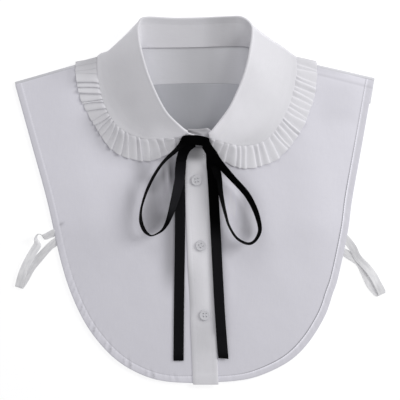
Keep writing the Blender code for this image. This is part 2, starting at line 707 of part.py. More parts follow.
for old in list(bpy.data.objects):
    bpy.data.objects.remove(old)
build_back()
build_yoke()
build_fronts()
build_placket()
build_stand()
build_leaf()
build_ruffle()
build_straps()
build_bow()
build_buttons()
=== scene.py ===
import math

import bmesh
import bpy
import numpy as np
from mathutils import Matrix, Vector
from mathutils.bvhtree import BVHTree


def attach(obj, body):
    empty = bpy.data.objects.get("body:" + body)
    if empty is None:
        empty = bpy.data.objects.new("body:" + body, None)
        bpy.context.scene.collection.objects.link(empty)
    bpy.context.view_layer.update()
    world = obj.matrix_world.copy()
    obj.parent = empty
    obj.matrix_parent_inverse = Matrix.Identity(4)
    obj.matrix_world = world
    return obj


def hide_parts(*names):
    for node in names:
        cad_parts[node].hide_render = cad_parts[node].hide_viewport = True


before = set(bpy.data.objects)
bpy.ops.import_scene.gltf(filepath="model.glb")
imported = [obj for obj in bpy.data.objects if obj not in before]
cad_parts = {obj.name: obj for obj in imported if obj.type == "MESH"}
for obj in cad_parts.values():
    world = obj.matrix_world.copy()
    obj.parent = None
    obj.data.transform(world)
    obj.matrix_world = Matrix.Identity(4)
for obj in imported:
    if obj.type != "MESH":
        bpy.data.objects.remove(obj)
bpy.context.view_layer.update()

# View and light. The collar lies on a white table and is seen from straight above.
# A wide soft light stands to the right and a little up the page, and a weak one beyond the
# neck; the room fills the rest.
MM = 0.001
VIEW_HEIGHT = 1.575
VIEW_WIDTH = 0.420
VIEW_MIDDLE_Y = 0.0005  # the photo's middle lies half a pixel up the page
FILM = 36.0
ROOM_COLOUR = (0.985, 0.98, 1.0, 1.0)
ROOM_STRENGTH = 0.51
TABLE_HALF = 4.0
TABLE_TOP_Z = -0.0003  # a hair under the lowest cloth
TABLE_WHITE = {
    "Base Color": (0.45, 0.45, 0.45, 1.0),
    "Roughness": 0.9,
    "Specular IOR Level": 0.1,
    "Emission Color": (1.0, 1.0, 1.0, 1.0),
    "Emission Strength": 0.70,
}

scene = bpy.context.scene
scene.view_settings.view_transform = "Standard"

eye = bpy.data.objects.new("eye", bpy.data.cameras.new("eye"))
eye.data.sensor_width = FILM
eye.data.lens = FILM * VIEW_HEIGHT / VIEW_WIDTH
eye.location = (0.0, VIEW_MIDDLE_Y, VIEW_HEIGHT)
scene.collection.objects.link(eye)
scene.camera = eye

room = bpy.data.worlds.new("room")
room.use_nodes = True
room.node_tree.nodes["Background"].inputs["Color"].default_value = ROOM_COLOUR
room.node_tree.nodes["Background"].inputs["Strength"].default_value = ROOM_STRENGTH
scene.world = room


def soft_light(name, place, width, height, power):
    """A wide lamp at this place, turned towards the collar."""
    lamp = bpy.data.lights.new(name, "AREA")
    lamp.shape = "RECTANGLE"
    lamp.size = width
    lamp.size_y = height
    lamp.energy = power
    holder = bpy.data.objects.new(name, lamp)
    holder.location = place
    holder.rotation_euler = (-Vector(place)).to_track_quat("-Z", "Y").to_euler()
    scene.collection.objects.link(holder)


def new_finish(name, settings):
    """A material, its node tree, and its shader with these sockets set."""
    finish = bpy.data.materials.new(name)
    finish.use_nodes = True
    shader = finish.node_tree.nodes["Principled BSDF"]
    for socket, value in settings.items():
        shader.inputs[socket].default_value = value
    return finish, finish.node_tree, shader


def add_piece(name, draft, finish):
    """Puts a finished bmesh in the scene as an object of one material."""
    mesh = bpy.data.meshes.new(name)
    draft.to_mesh(mesh)
    draft.free()
    mesh.materials.append(finish)
    piece = bpy.data.objects.new(name, mesh)
    scene.collection.objects.link(piece)
    return piece


soft_light("window", (0.86, 0.34, 0.58), 0.5, 0.5, 5.0)
soft_light("top_light", (-0.15, 0.85, 0.48), 0.6, 0.5, 1.3)

board = bmesh.new()
bmesh.ops.create_grid(board, x_segments=1, y_segments=1, size=TABLE_HALF)
for corner in board.verts:
    corner.co.z = TABLE_TOP_Z
table_top = add_piece("table", board, new_finish("table_white", TABLE_WHITE)[0])

# Lower back. One piece of white cotton and polyester poplin, cut like the two fronts together,
# with a narrow hem round its edge. It lies flat on the table and shows only inside the neck.
# Sizes from here on are in millimetres.
CLOTH = 0.5  # one layer as it lies, with the air in it
NECK_LIFT = 3.6  # how far the layers ride up over the part of the collar under them
LIFT_OUT = (132.0, 186.0)  # the lift is whole up to the first X, and gone at the second
LIFT_UP = (30.0, 104.0)  # it starts at the first Y, and is whole from the second
YOKE_SEAM_Y = 122.5  # in the middle
YOKE_SEAM_DROP = 24.0  # down the page, as far out as the shoulders
SHOULDER_OUT = 190.0
BACK_ROWS, BACK_COLUMNS, EDGE_POINTS = 70, 45, 200
BACK_INSET = 1.6  # in from the fronts' edge
BACK_HEAD = 3.0  # up under the yoke
BACK_FOOT = -188.0
BACK_Z = 0.6  # its middle over the table
BACK_TUCK = 0.3  # lower under the yoke
# Outer edges of the fronts, from the shoulder seam down to the placket: x, y.
LEFT_EDGE = (
    (-193.6, 121.3), (-191.6, 113.6), (-176.5, 59.2), (-160.4, 0.5), (-146.2, -62.0),
    (-134.6, -98.6), (-119.0, -130.7), (-100.2, -155.2), (-81.5, -171.6), (-58.7, -183.6),
    (-35.9, -189.6), (-5.8, -191.6),
)
RIGHT_EDGE = (
    (182.0, 125.1), (180.4, 118.5), (168.0, 48.8), (159.4, 0.5), (155.0, -32.0), (145.0, -79.8),
    (138.9, -98.5), (130.9, -121.0), (114.2, -148.2), (93.8, -168.2), (64.3, -182.9),
    (37.5, -188.9), (-5.2, -191.4),
)


def smooth(value, low, high):
    """0 at low, 1 at high, with soft ends."""
    share = np.clip((value - low) / (high - low), 0.0, 1.0)
    return share * share * (3.0 - 2.0 * share)


def soft_curve(a, b, c, d, t):
    """Soft curve from b to c, with a and d as its neighbours."""
    bend = (2 * a - 5 * b + 4 * c - d) * t * t + (3 * b - a - 3 * c + d) * t**3
    return 0.5 * (2 * b + (c - a) * t + bend)


def with_guides(rows):
    """The rows of a table, with one more before and after them that only guide the curve."""
    return np.vstack([2 * rows[0] - rows[1], rows, 2 * rows[-1] - rows[-2]])


def between(ends, along, places):
    """Soft curve through a table whose first and last rows are only guides."""
    k = np.clip(np.searchsorted(along, places) - 1, 0, len(along) - 2)
    t = ((places - along[k]) / (along[k + 1] - along[k]))[:, None]
    return soft_curve(ends[k], ends[k + 1], ends[k + 2], ends[k + 3], t)


def distances(line, least=0.0):
    """How far along a line each of its points lies, with no step shorter than the least."""
    steps = np.linalg.norm(np.diff(line, axis=0), axis=1)
    return np.concatenate([[0.0], np.cumsum(np.maximum(steps, least))])


def through(rows, count):
    """Soft curve through the rows of a table, at even steps along it."""
    rows = np.asarray(rows, float)
    along = distances(rows[:, :2], 0.5)
    return between(with_guides(rows), along, np.linspace(0.0, along[-1], count))


def lift(x, y):
    """The layers ride up over the part of the collar that lies under the back."""
    beside = smooth(-np.abs(x), -LIFT_OUT[1], -LIFT_OUT[0])
    return NECK_LIFT * beside * smooth(y, *LIFT_UP)


def yoke_seam(x):
    """Y of the seam between yoke and lower back, which drops towards the armholes."""
    return YOKE_SEAM_Y - YOKE_SEAM_DROP * (x / SHOULDER_OUT) ** 2


def arc_lengths(grid):
    """Where each point of a bent cloth lay before it was bent, in millimetres."""
    across = np.linalg.norm(np.diff(grid, axis=1), axis=2)
    down = np.linalg.norm(np.diff(grid, axis=0), axis=2).mean(axis=1)
    u = np.concatenate([np.zeros((len(grid), 1)), np.cumsum(across, axis=1)], axis=1)
    v = np.concatenate([[0.0], np.cumsum(down)])
    return np.dstack([u, np.repeat(v[:, None], grid.shape[1], axis=1)])


def round_off(piece, levels):
    """Smooths a piece's mesh, as much in the viewport as in the render."""
    soft = piece.modifiers.new("soft", "SUBSURF")
    soft.levels = levels
    soft.render_levels = levels


def sew(name, grid, wall, finish, tone, flat=None, keep=None):
    """One piece of cloth: a flat grid, laid in its shape, given its thickness and smoothed.

    tone scales its colour at each point, flat is where each point lay before it was bent, and
    keep says which faces of the grid are cloth.
    """
    rows, cols = grid.shape[:2]
    flat = arc_lengths(grid) if flat is None else flat
    cut = bmesh.new()
    bmesh.ops.create_grid(cut, x_segments=cols - 1, y_segments=rows - 1, size=1.0)
    weave = cut.loops.layers.uv.new("weave")
    shade = cut.verts.layers.float.new("tone")
    spot = {}
    for corner in cut.verts:
        i = round((corner.co.y + 1.0) * (rows - 1) / 2.0)
        j = round((corner.co.x + 1.0) * (cols - 1) / 2.0)
        spot[corner] = (i, j)
        corner[shade] = float(tone[i, j])
    for corner, at in spot.items():
        corner.co = Vector(grid[at]) * MM
    gone = []
    for face in cut.faces:
        for loop in face.loops:
            loop[weave].uv = flat[spot[loop.vert]]
        face.smooth = True
        if keep is not None:
            i = min(spot[corner][0] for corner in face.verts)
            j = min(spot[corner][1] for corner in face.verts)
            if not keep(i, j):
                gone.append(face)
    bmesh.ops.delete(cut, geom=gone, context="FACES")
    piece = add_piece(name, cut, finish)
    thick = piece.modifiers.new("thickness", "SOLIDIFY")
    thick.thickness = wall * MM
    thick.offset = 0.0
    round_off(piece, 1)
    return piece


def step(tree, kind, feeds, **choices):
    """Adds one node of a material; feeds are its sockets' values or what is joined to them."""
    made = tree.nodes.new("ShaderNode" + kind)
    for key, value in choices.items():
        setattr(made, key, value)
    for key, value in feeds.items():
        if isinstance(value, bpy.types.NodeSocket):
            tree.links.new(value, made.inputs[key])
        else:
            made.inputs[key].default_value = value
    return made.outputs


def noise(tree, place, scale, detail=2.0):
    """Soft random spots over these coordinates."""
    return step(tree, "TexNoise", {"Vector": place, "Scale": scale, "Detail": detail})["Fac"]


def stretched(tree, place, scale):
    """The same coordinates, stretched by a scale for each axis."""
    return step(tree, "Mapping", {"Vector": place, "Scale": scale})["Vector"]


def spread(tree, value, low, high, to_low=0.0, to_high=1.0):
    """Takes the range from low to high to another range."""
    ends = {"From Min": low, "From Max": high, "To Min": to_low, "To Max": to_high}
    return step(tree, "MapRange", {"Value": value, **ends})["Result"]


def combined(tree, operation, one, other):
    """Two values added or multiplied."""
    return step(tree, "Math", {0: one, 1: other}, operation=operation)["Value"]


def join_colour(tree, shader, colour, uneven=1.0):
    """Joins a colour to the shader, times its unevenness and the piece's tones, which are mostly
    painted light and shade.
    """
    tone = step(tree, "Attribute", {}, attribute_name="tone")["Fac"]
    scale = combined(tree, "MULTIPLY", uneven, tone)
    colour = step(tree, "VectorMath", {0: colour, "Scale": scale}, operation="SCALE")["Vector"]
    tree.links.new(colour, shader.inputs["Base Color"])


def join_relief(tree, shader, height, distance, strength, under=None):
    """Joins a fine relief to the shader, over a coarser one where there is one."""
    feeds = {"Height": height, "Distance": distance, "Strength": strength}
    if under is not None:
        feeds["Normal"] = under
    tree.links.new(step(tree, "Bump", feeds)["Normal"], shader.inputs["Normal"])


MATT_COTTON = {
    "Roughness": 0.8, "Specular IOR Level": 0.2, "Sheen Weight": 0.06, "Sheen Roughness": 0.5,
}


def poplin(name, shade):
    """Plain weave with fine ribs, uneven yarns and soft crumples."""
    cloth, tree, shader = new_finish(name, MATT_COTTON)
    weave = step(tree, "UVMap", {}, uv_map="weave")["UV"]
    place = step(tree, "TexCoord", {})["Object"]
    warp = step(tree, "TexWave", {"Vector": weave, "Scale": 1.05})["Fac"]
    weft = step(tree, "TexWave", {"Vector": weave, "Scale": 0.85}, bands_direction="Y")["Fac"]
    ribs = combined(tree, "MULTIPLY", warp, weft)
    yarn = noise(tree, stretched(tree, weave, (0.9, 0.04, 1.0)), 2.0)
    cloudy = noise(tree, place, 9.0, 1.0)
    crumple = noise(tree, place, 21.0, 4.0)
    yarn = spread(tree, yarn, 0.3, 0.7, 0.975, 1.0)
    cloudy = spread(tree, cloudy, 0.3, 0.7, 0.98, 1.01)
    join_colour(tree, shader, shade, combined(tree, "MULTIPLY", yarn, cloudy))
    soft = step(tree, "Bump", {"Height": crumple, "Distance": 0.0011, "Strength": 1.0})["Normal"]
    join_relief(tree, shader, ribs, 0.00004, 0.6, soft)
    return cloth


PANEL_POPLIN = poplin("panel_poplin", (0.79, 0.782, 0.84))
# Painted shade: the lower back is darker than the fronts, for the shade deep inside the neck.
BACK_POPLIN_SHADED = poplin("back_poplin_painted_shade", (0.405, 0.41, 0.435))


def back_lower():
    """The lower back's points, from the yoke seam down to its hem."""
    left = through([(x + BACK_INSET, y) for x, y in LEFT_EDGE], EDGE_POINTS)
    right = through([(x - BACK_INSET, y) for x, y in RIGHT_EDGE], EDGE_POINTS)
    share = np.linspace(0.0, 1.0, BACK_ROWS) ** 0.8
    head = yoke_seam(185.0) - 0.3
    level = head + (BACK_FOOT - head) * share
    x0 = np.interp(-level, -left[:, 1], left[:, 0])
    x1 = np.interp(-level, -right[:, 1], right[:, 0])
    x = x0[:, None] + (x1 - x0)[:, None] * np.linspace(0.0, 1.0, BACK_COLUMNS)[None, :]
    top = yoke_seam(x) + BACK_HEAD
    y = top + (BACK_FOOT - top) * share[:, None]
    tucked = BACK_TUCK * smooth(y - yoke_seam(x), -0.6, 0.6)
    return np.dstack([x, y, lift(x, y) + BACK_Z - tucked])


back_grid = back_lower()
# Across the neck opening the light falls unevenly: X and tone of the cloth there.
INSIDE_X = (-42.0, -31.0, -21.0, -10.0, 0.0, 10.0, 21.0, 31.0)
INSIDE_TONE = (1.22, 1.10, 1.03, 0.97, 1.0, 1.12, 1.32, 1.40)
back_tone = np.interp(back_grid[..., 0], INSIDE_X, INSIDE_TONE)
back_panel = sew(
    "back_panel_cloth", back_grid, CLOTH, BACK_POPLIN_SHADED, back_tone, flat=back_grid[..., :2]
)
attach(back_panel, "root")
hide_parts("back_panel")

# Back yoke. Doubled poplin from the neck seam down to the seam with the lower back. It turns
# over both shoulders and meets the fronts 3 mm down from the fold.
SHOULDER_STEPS = 40
YOKE_TURN = 3.2  # from the fold down to the seam with the fronts
YOKE_FOLD = 0.65  # radius of the fold over the shoulder
YOKE_UP = (0.0, 0.02, 0.08, 0.2, 0.35, 0.5, 0.65, 0.8, 0.92)  # from its lower seam to the fold
# From the fold down to the front seam: share of the way, and how far the cloth dips there.
YOKE_DOWN = ((0.25, 0.0), (0.5, 0.0), (0.8, 0.0), (0.94, 0.02), (1.0, 0.1))
YOKE_OVER = 0.62  # over the layer that it lies on
ARMHOLE_LEAN = (0.26, -0.16)  # of the left and right ends, across for each unit up the page
FRONT_LOW = 1.4  # height of the fronts' underside where they lie flat
FRONT_RIDE = 1.05  # they ride up a little more than the back
FOLD_FADE = 0.25  # share of a fold's length over which it fades, each way from its end
# Shoulder folds from the neck out to the tip: x, y.
LEFT_SHOULDER = ((-64.5, 160.5), (-129.7, 142.8), (-194.2, 124.7))
RIGHT_SHOULDER = ((56.5, 158.2), (122.9, 142.3), (183.3, 128.9))
# Soft folds of the fronts: start x, start y, end x, end y, half width, height.
FOLDS = (
    (-46.0, 36.0, -60.0, -40.0, 22.0, 1.2),
    (52.0, 20.0, 66.0, -48.0, 17.0, 2.0),
    (-130.0, 40.0, -96.0, -60.0, 24.0, 1.6),
    (112.0, 60.0, 124.0, -50.0, 24.0, 1.8),
)


def bell(value, middle, half):
    """1 in the middle, fading away softly on both sides of it."""
    return np.exp(-(((value - middle) / half) ** 2))


def drape(x, y, folds=FOLDS):
    """Soft rises of the cloth: start, end, half width and height of each."""
    total = np.zeros_like(np.asarray(x, float))
    for x0, y0, x1, y1, half, height in folds:
        run = np.array([x1 - x0, y1 - y0])
        t = ((x - x0) * run[0] + (y - y0) * run[1]) / run.dot(run)
        t = np.clip(t, -FOLD_FADE, 1.0 + FOLD_FADE)
        off = np.hypot(x - x0 - t * run[0], y - y0 - t * run[1])
        ends = smooth(t, -FOLD_FADE, FOLD_FADE) * smooth(-t, -1.0 - FOLD_FADE, FOLD_FADE - 1.0)
        total = total + height * ends * bell(off, 0.0, half)
    return total


def front_low(x, y):
    """Height of the underside of the fronts."""
    return lift(x, y) * FRONT_RIDE + FRONT_LOW + drape(x, y)


# Where the neckband is sewn on across the back.
NECK_FOOT_X = (-61.5, -54.0, -27.0, 0.0, 26.0, 42.0, 50.5, 55.0)
NECK_FOOT_Y = (160.0, 160.3, 160.5, 161.0, 161.8, 162.0, 161.0, 158.5)


def yoke_shape():
    """The yoke's points: across from shoulder to shoulder, and from its lower seam over the fold."""
    left_tip, right_tip = LEFT_SHOULDER[-1][0], RIGHT_SHOULDER[-1][0]
    left_neck, right_neck = LEFT_SHOULDER[0][0], RIGHT_SHOULDER[0][0]
    x = np.concatenate(
        [
            np.linspace(left_tip, left_neck, SHOULDER_STEPS)[:-1],
            np.linspace(left_neck, right_neck, SHOULDER_STEPS),
            np.linspace(right_neck, right_tip, SHOULDER_STEPS)[1:],
        ]
    )
    fold_line = np.array(LEFT_SHOULDER[::-1] + RIGHT_SHOULDER)
    grid = []
    for at in x:
        edge = np.interp(at, fold_line[:, 0], fold_line[:, 1])
        fold = edge - YOKE_FOLD - 0.5
        base = float(lift(at, edge))
        lean = ARMHOLE_LEAN[int(at > 0)] * smooth(abs(at), 120.0, 180.0)
        seam = yoke_seam(at + lean * (fold - yoke_seam(at)))
        column = []
        for s in YOKE_UP:
            y = seam + (fold - seam) * s
            inward = at + lean * (fold - y)
            column.append((inward, y, float(lift(inward, y)) + YOKE_OVER - 0.1 * (s == 0.0)))
        under_neckband = left_neck < at < right_neck
        y = np.interp(at, NECK_FOOT_X, NECK_FOOT_Y) + 0.8 if under_neckband else fold - 0.6
        column.append((at, y, float(lift(at, y)) + (0.42 if under_neckband else 0.6)))
        for angle in np.radians(np.linspace(-90.0, 90.0, 7)):
            z = base + 0.5 + YOKE_FOLD + YOKE_FOLD * math.sin(angle)
            column.append((at, fold + YOKE_FOLD * math.cos(angle), z))
        for s, dip in YOKE_DOWN:
            y = fold - (YOKE_TURN - 2 * YOKE_FOLD) * s
            inward = at + lean * (fold - y)
            column.append((inward, y, float(front_low(inward, y)) + YOKE_OVER - dip))
        grid.append(column)
    return np.array(grid)


def yoke_is_cloth(i, j):
    """In the middle the yoke stops at the neck seam; only its ends turn over the shoulders."""
    return j < len(YOKE_UP) or i < SHOULDER_STEPS - 1 or i >= 2 * (SHOULDER_STEPS - 1)


# Painted shade: the yoke is darker than the fronts, for the shade inside the neck and over the
# shoulders.
YOKE_POPLIN_SHADED = poplin("yoke_poplin_painted_shade", (0.70, 0.70, 0.73))
# Light across the yoke inside the neck: X and tone of the cloth there.
YOKE_X = (-52.0, -10.0, 12.0, 25.0, 42.0)
YOKE_TONE = (1.0, 0.76, 0.74, 0.86, 1.05)
yoke_grid = yoke_shape()
yoke_tone = np.interp(yoke_grid[..., 0], YOKE_X, YOKE_TONE)
back_yoke = sew("back_yoke_cloth", yoke_grid, CLOTH, YOKE_POPLIN_SHADED, yoke_tone, keep=yoke_is_cloth)
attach(back_yoke, "root")
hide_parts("back_yoke")

# Fronts. One layer of poplin each. The outer edge is turned under twice and stitched down
# 7 mm in, so the hem stands a little proud and puckers where the curve is tight.
PLACKET_TOP = 56.0
PLACKET_FOOT = -192.8
PLACKET_FOOT_X = -7.2
PLACKET_LEAN = 0.0424
PANEL_FOOT = -176.0  # where the fronts end under the placket
LEFT_UNDER, RIGHT_UNDER = 1.5, 2.1  # how far the fronts reach under it
FRONT_WALL = 1.0
FRONT_ROWS, NECK_ROWS, INNER_COLUMNS = 200, 70, 30
STITCH = 7.2  # in from the edge
PUCKER_WAVES = ((9.1, 0.4), (13.3, 2.1), (6.7, 1.3))  # pitch along the edge, and phase
PUCKER_SLANT = 0.7  # along the edge for each millimetre in from it
PUCKER_HEIGHT = 0.15
PUCKER_PLACE = (5.0, 4.2)  # in from the edge, and half width
HEM_UNDER = 6  # the last points of the hem's profile lie under the front,
UNDER_EASE = 0.6  # and leave this share of its creases out
# Painted highlight and shade of the stitched line, and painted shade in the pinches of its
# puckers: in from the edge, half width, change.
RIDGE_HIGHLIGHT = (6.9, 0.6, 0.36)
GROOVE_SHADE = (7.95, 0.4, -0.78)
PINCH_SHADE = (4.0, 3.0, -0.26)
SHOULDER_LINE_ROW = 4  # the faint line that runs beside the shoulder
SHOULDER_LINE_DROP = 1.2  # its depth, times how dark it is
SHOULDER_TUCK = (0.8, -0.3)  # up the page and down, under the yoke
# Neck, from the left end in front round the back to the right end in front: x, y and z of the
# fold, and x and y of the base that the neckband stands on.
NECK = (
    (6.0, 66.8, 12.6, 5.5, 57.0), (-5.0, 69.1, 13.2, -5.0, 57.4), (-12.6, 71.9, 15.0, -16.0, 59.5),
    (-20.6, 77.4, 17.6, -26.0, 68.6), (-36.4, 93.6, 22.2, -43.2, 87.7),
    (-51.2, 123.6, 26.5, -59.0, 119.5), (-59.8, 150.5, 27.5, -66.5, 146.0),
    (-63.8, 170.0, 24.0, -65.0, 157.5), (-64.0, 183.0, 19.5, -61.5, 160.0),
    (-57.5, 190.6, 16.5, -54.0, 160.3), (-27.7, 189.8, 15.2, -27.0, 160.5),
    (0.0, 190.2, 15.0, 0.0, 161.0), (28.0, 191.5, 15.2, 26.0, 161.8),
    (44.0, 191.0, 16.5, 42.0, 162.0), (53.6, 182.5, 19.5, 50.5, 161.0),
    (54.3, 171.0, 22.5, 55.0, 158.5), (52.2, 158.0, 25.5, 58.5, 151.0),
    (49.6, 144.0, 27.5, 57.0, 139.0), (45.0, 128.0, 27.0, 52.0, 122.5),
    (38.4, 111.8, 25.5, 44.8, 105.5), (30.2, 95.3, 22.5, 34.5, 88.5),
    (17.6, 78.6, 16.5, 20.5, 69.5), (8.8, 69.6, 13.2, 11.0, 58.5),
    (-1.0, 67.4, 10.6, -1.0, 57.0), (-13.5, 67.6, 10.6, -12.0, 57.6),
)


def placket_left(y):
    """X of the placket's left edge."""
    return PLACKET_FOOT_X - PLACKET_LEAN * (y - PLACKET_FOOT)


def front_top(x, y):
    """Height of the upper side of the fronts."""
    return front_low(x, y) + FRONT_WALL


def points_at(places, along, line):
    """Points of a line of straight pieces, at these distances along it."""
    return np.stack([np.interp(places, along, column) for column in line.T], axis=1)


def polyline(rows, count):
    """Points at even steps along straight pieces."""
    rows = np.asarray(rows, float)
    along = distances(rows)
    return points_at(np.linspace(0.0, along[-1], count), along, rows)


# Hem from the panel out to its edge and back underneath: how far in from the edge, how high
# over the panel, and the tone of the cloth there.
HEM_PROFILE = (
    (14.0, 0.0, 1.0), (11.0, 0.0, 1.0), (9.4, -0.01, 1.0), (8.6, -0.02, 1.0), (8.0, -0.05, 0.99),
    (7.55, 0.0, 1.0), (7.2, 0.02, 1.07), (6.85, 0.06, 1.08), (6.2, 0.2, 1.07), (4.8, 0.32, 1.06),
    (3.0, 0.34, 1.06), (1.5, 0.3, 1.05), (0.6, 0.2, 1.0), (0.15, 0.0, 1.0), (0.0, -0.22, 1.0),
    (0.15, -0.46, 1.0), (0.7, -0.62, 1.0), (2.5, -0.66, 1.0), (5.5, -0.66, 1.0), (7.9, -0.62, 1.0),
)
# Fine creases over and above the wide folds: start, end, half width, height.
LEFT_CREASES = (
    (-36.0, 38.0, -29.0, 4.0, 1.8, 0.5), (-38.0, 30.0, -31.0, -4.0, 1.6, 0.35),
    (-16.0, -78.0, -9.0, -124.0, 3.5, 0.6), (-96.0, 30.0, -70.0, -12.0, 14.0, 0.5),
    (-62.0, -62.0, -50.0, -108.0, 15.0, 0.4),
)
RIGHT_CREASES = (
    (33.0, 20.0, 36.0, -10.0, 5.0, 0.9), (27.0, 4.0, 32.0, -50.0, 3.5, 0.6),
    (29.0, -66.0, 31.0, -108.0, 4.0, 0.5), (70.0, -62.0, 96.0, -108.0, 18.0, 0.5),
)
# Painted shadows and painted highlights on the fronts, mostly round the bow, its tails and the
# ruffle: start, end, half width, change of tone.
LEFT_SHADE_AND_HIGHLIGHT = (
    (-30.0, 2.0, -30.0, -86.0, 9.5, -0.46), (-46.0, 32.0, -48.0, -26.0, 12.5, -0.34),
    (-73.0, 14.0, -71.0, -28.0, 6.0, -0.16), (-33.0, 52.0, -34.0, 22.0, 8.0, -0.36),
    (-36.5, 38.0, -29.5, 2.0, 1.3, 0.42), (-118.0, 90.0, -98.0, 54.0, 6.5, -0.20),
    (-126.0, 84.0, -92.0, 44.0, 9.0, -0.06), (-96.0, 48.0, -58.0, 35.0, 6.0, -0.07),
    (-160.0, 140.0, -124.0, 146.0, 18.0, -0.10), (-134.0, 146.0, -134.0, 118.0, 6.0, -0.12),
    (-37.0, 46.0, -34.0, 20.0, 8.0, -0.22), (-38.5, 12.0, -38.0, -14.0, 7.0, 0.30),
    (-50.0, 26.0, -50.0, 8.0, 6.5, -0.20), (-64.0, 42.0, -62.0, 20.0, 8.0, -0.18),
    (-30.2, 48.0, -29.4, 12.0, 2.4, -0.22), (-32.8, 26.0, -31.0, 6.0, 1.5, 0.30),
    (-147.2, -26.0, -144.0, -23.4, 1.6, -0.30),
)
RIGHT_SHADE_AND_HIGHLIGHT = (
    (33.0, 18.0, 36.0, -14.0, 4.5, 0.20), (46.0, 6.0, 50.0, -38.0, 6.5, -0.30),
    (24.0, 40.0, 25.0, 26.0, 4.0, -0.40), (116.0, 144.0, 150.0, 136.0, 6.0, -0.12),
    (150.0, 122.0, 146.0, 82.0, 24.0, -0.09), (28.0, 4.0, 42.0, -36.0, 9.0, 0.16),
)


def front_shape(edge, neck, centre, creases, puckers, groove, band, seam, tones, upper):
    """Points, flat points and tones of a front, its rows from the shoulder to the foot."""
    outer = through(edge, FRONT_ROWS)
    inner = np.concatenate(
        [through(neck, NECK_ROWS)[:-1], polyline(centre, FRONT_ROWS - NECK_ROWS + 1)]
    )
    run = outer - inner
    reach = np.linalg.norm(run, axis=1)[:, None]
    hem = np.array(HEM_PROFILE)
    inside = np.linspace(0.0, 1.0, INNER_COLUMNS + 1)[None, :-1] ** 1.3 * (reach - hem[0, 0])
    along = np.concatenate([inside, reach - hem[None, :, 0]], axis=1)
    share = along / reach
    x = inner[:, None, 0] + run[:, None, 0] * share
    y = inner[:, None, 1] + run[:, None, 1] * share
    rise = np.concatenate([np.zeros(INNER_COLUMNS), hem[:, 1]])
    edge_tone = np.concatenate([np.ones(INNER_COLUMNS), hem[:, 2]])
    travel = distances(outer)
    inset = reach - along
    wave = 0.0
    for pitch, phase in PUCKER_WAVES:
        turns = (travel[:, None] + PUCKER_SLANT * inset) * 2 * math.pi / pitch
        wave = wave + np.sin(turns + phase)
    tight, line_shade_share, folded = (
        np.interp(travel / travel[-1], *table)[:, None] for table in (puckers, groove, band)
    )
    ruck = PUCKER_HEIGHT * wave * tight * bell(inset, *PUCKER_PLACE)
    crease = drape(x, y, creases)
    z = front_top(x, y) - CLOTH / 2 + rise[None, :] + ruck + crease
    z[:, -HEM_UNDER:] -= (crease + ruck)[:, -HEM_UNDER:] * UNDER_EASE
    flat = np.dstack([x, y])
    tone = (1.0 + drape(x, y, tones)) * edge_tone[None, :] * (1.0 + upper * smooth(y, -40.0, -14.0))
    # Painted highlight and shade along the stitched line, and painted shade in the pinches.
    tone *= 1.0 + line_shade_share * (RIDGE_HIGHLIGHT[2] * bell(inset, *RIDGE_HIGHLIGHT[:2]) + GROOVE_SHADE[2] * bell(inset, *GROOVE_SHADE[:2]))
    tone *= 1.0 - (1.0 - folded) * (1.0 - smooth(inset, 5.6, 6.7))
    # Painted shade along the line beside the shoulder, over a real dip in the cloth.
    tone[SHOULDER_LINE_ROW] *= seam
    z[SHOULDER_LINE_ROW] -= SHOULDER_LINE_DROP * (1.0 - seam)
    pinch_shade_mask = np.clip(wave - 0.9, 0.0, 1.2) * np.clip(tight - 1.0, 0.0, 1.2)
    tone *= 1.0 + PINCH_SHADE[2] * pinch_shade_mask * bell(inset, *PINCH_SHADE[:2])
    y[0] += SHOULDER_TUCK[0]
    z[0] += SHOULDER_TUCK[1]
    return np.dstack([x, y, z]), flat, tone


def placket_side(under, top):
    """The straight edge of a front under the placket, from its top down."""
    return [(placket_left(y) + under, y) for y in (top, PANEL_FOOT)]


def neck_side(top, rows, out):
    """The neck edge of a front: its top at the shoulder, then just outside the band's base."""
    return [top] + [(row[3] + out, row[4] - 0.4) for row in rows]


left_centre = placket_side(LEFT_UNDER, PLACKET_TOP)
right_centre = placket_side(RIGHT_UNDER, 54.0)
left_neck = neck_side((-65.9, 156.9), NECK[6:1:-1], -0.6)
right_neck = neck_side((57.4, 154.5), NECK[16:23], 0.6)
# The sewing thread and its lock stitches.
THREAD_RADIUS = 0.17
THREAD_ENDS = (0.6, 1.0, 1.0, 0.6)  # share of its radius at the four points of a stitch
STITCH_PITCH = 2.7
STITCH_LENGTH = 2.2
STITCH_HEIGHTS = (-0.22, 0.02, 0.02, -0.22)  # at its four points, over the line


def mixed(tree, share, one, other):
    """A colour between two others."""
    feeds = {"Factor": share, 6: one, 7: other}
    return step(tree, "Mix", feeds, data_type="RGBA")[2]


def thread_finish():
    """Sewing thread: white polyester with a fine twist."""
    thread, tree, shader = new_finish("sewing_thread", {"Roughness": 0.55, "Sheen Weight": 0.2})
    twist = noise(tree, step(tree, "TexCoord", {})["Object"], 900.0)
    colour = mixed(tree, twist, (0.70, 0.70, 0.74, 1.0), (0.80, 0.80, 0.83, 1.0))
    tree.links.new(colour, shader.inputs["Base Color"])
    join_relief(tree, shader, twist, 0.00005, 0.6)
    return thread


THREAD = thread_finish()


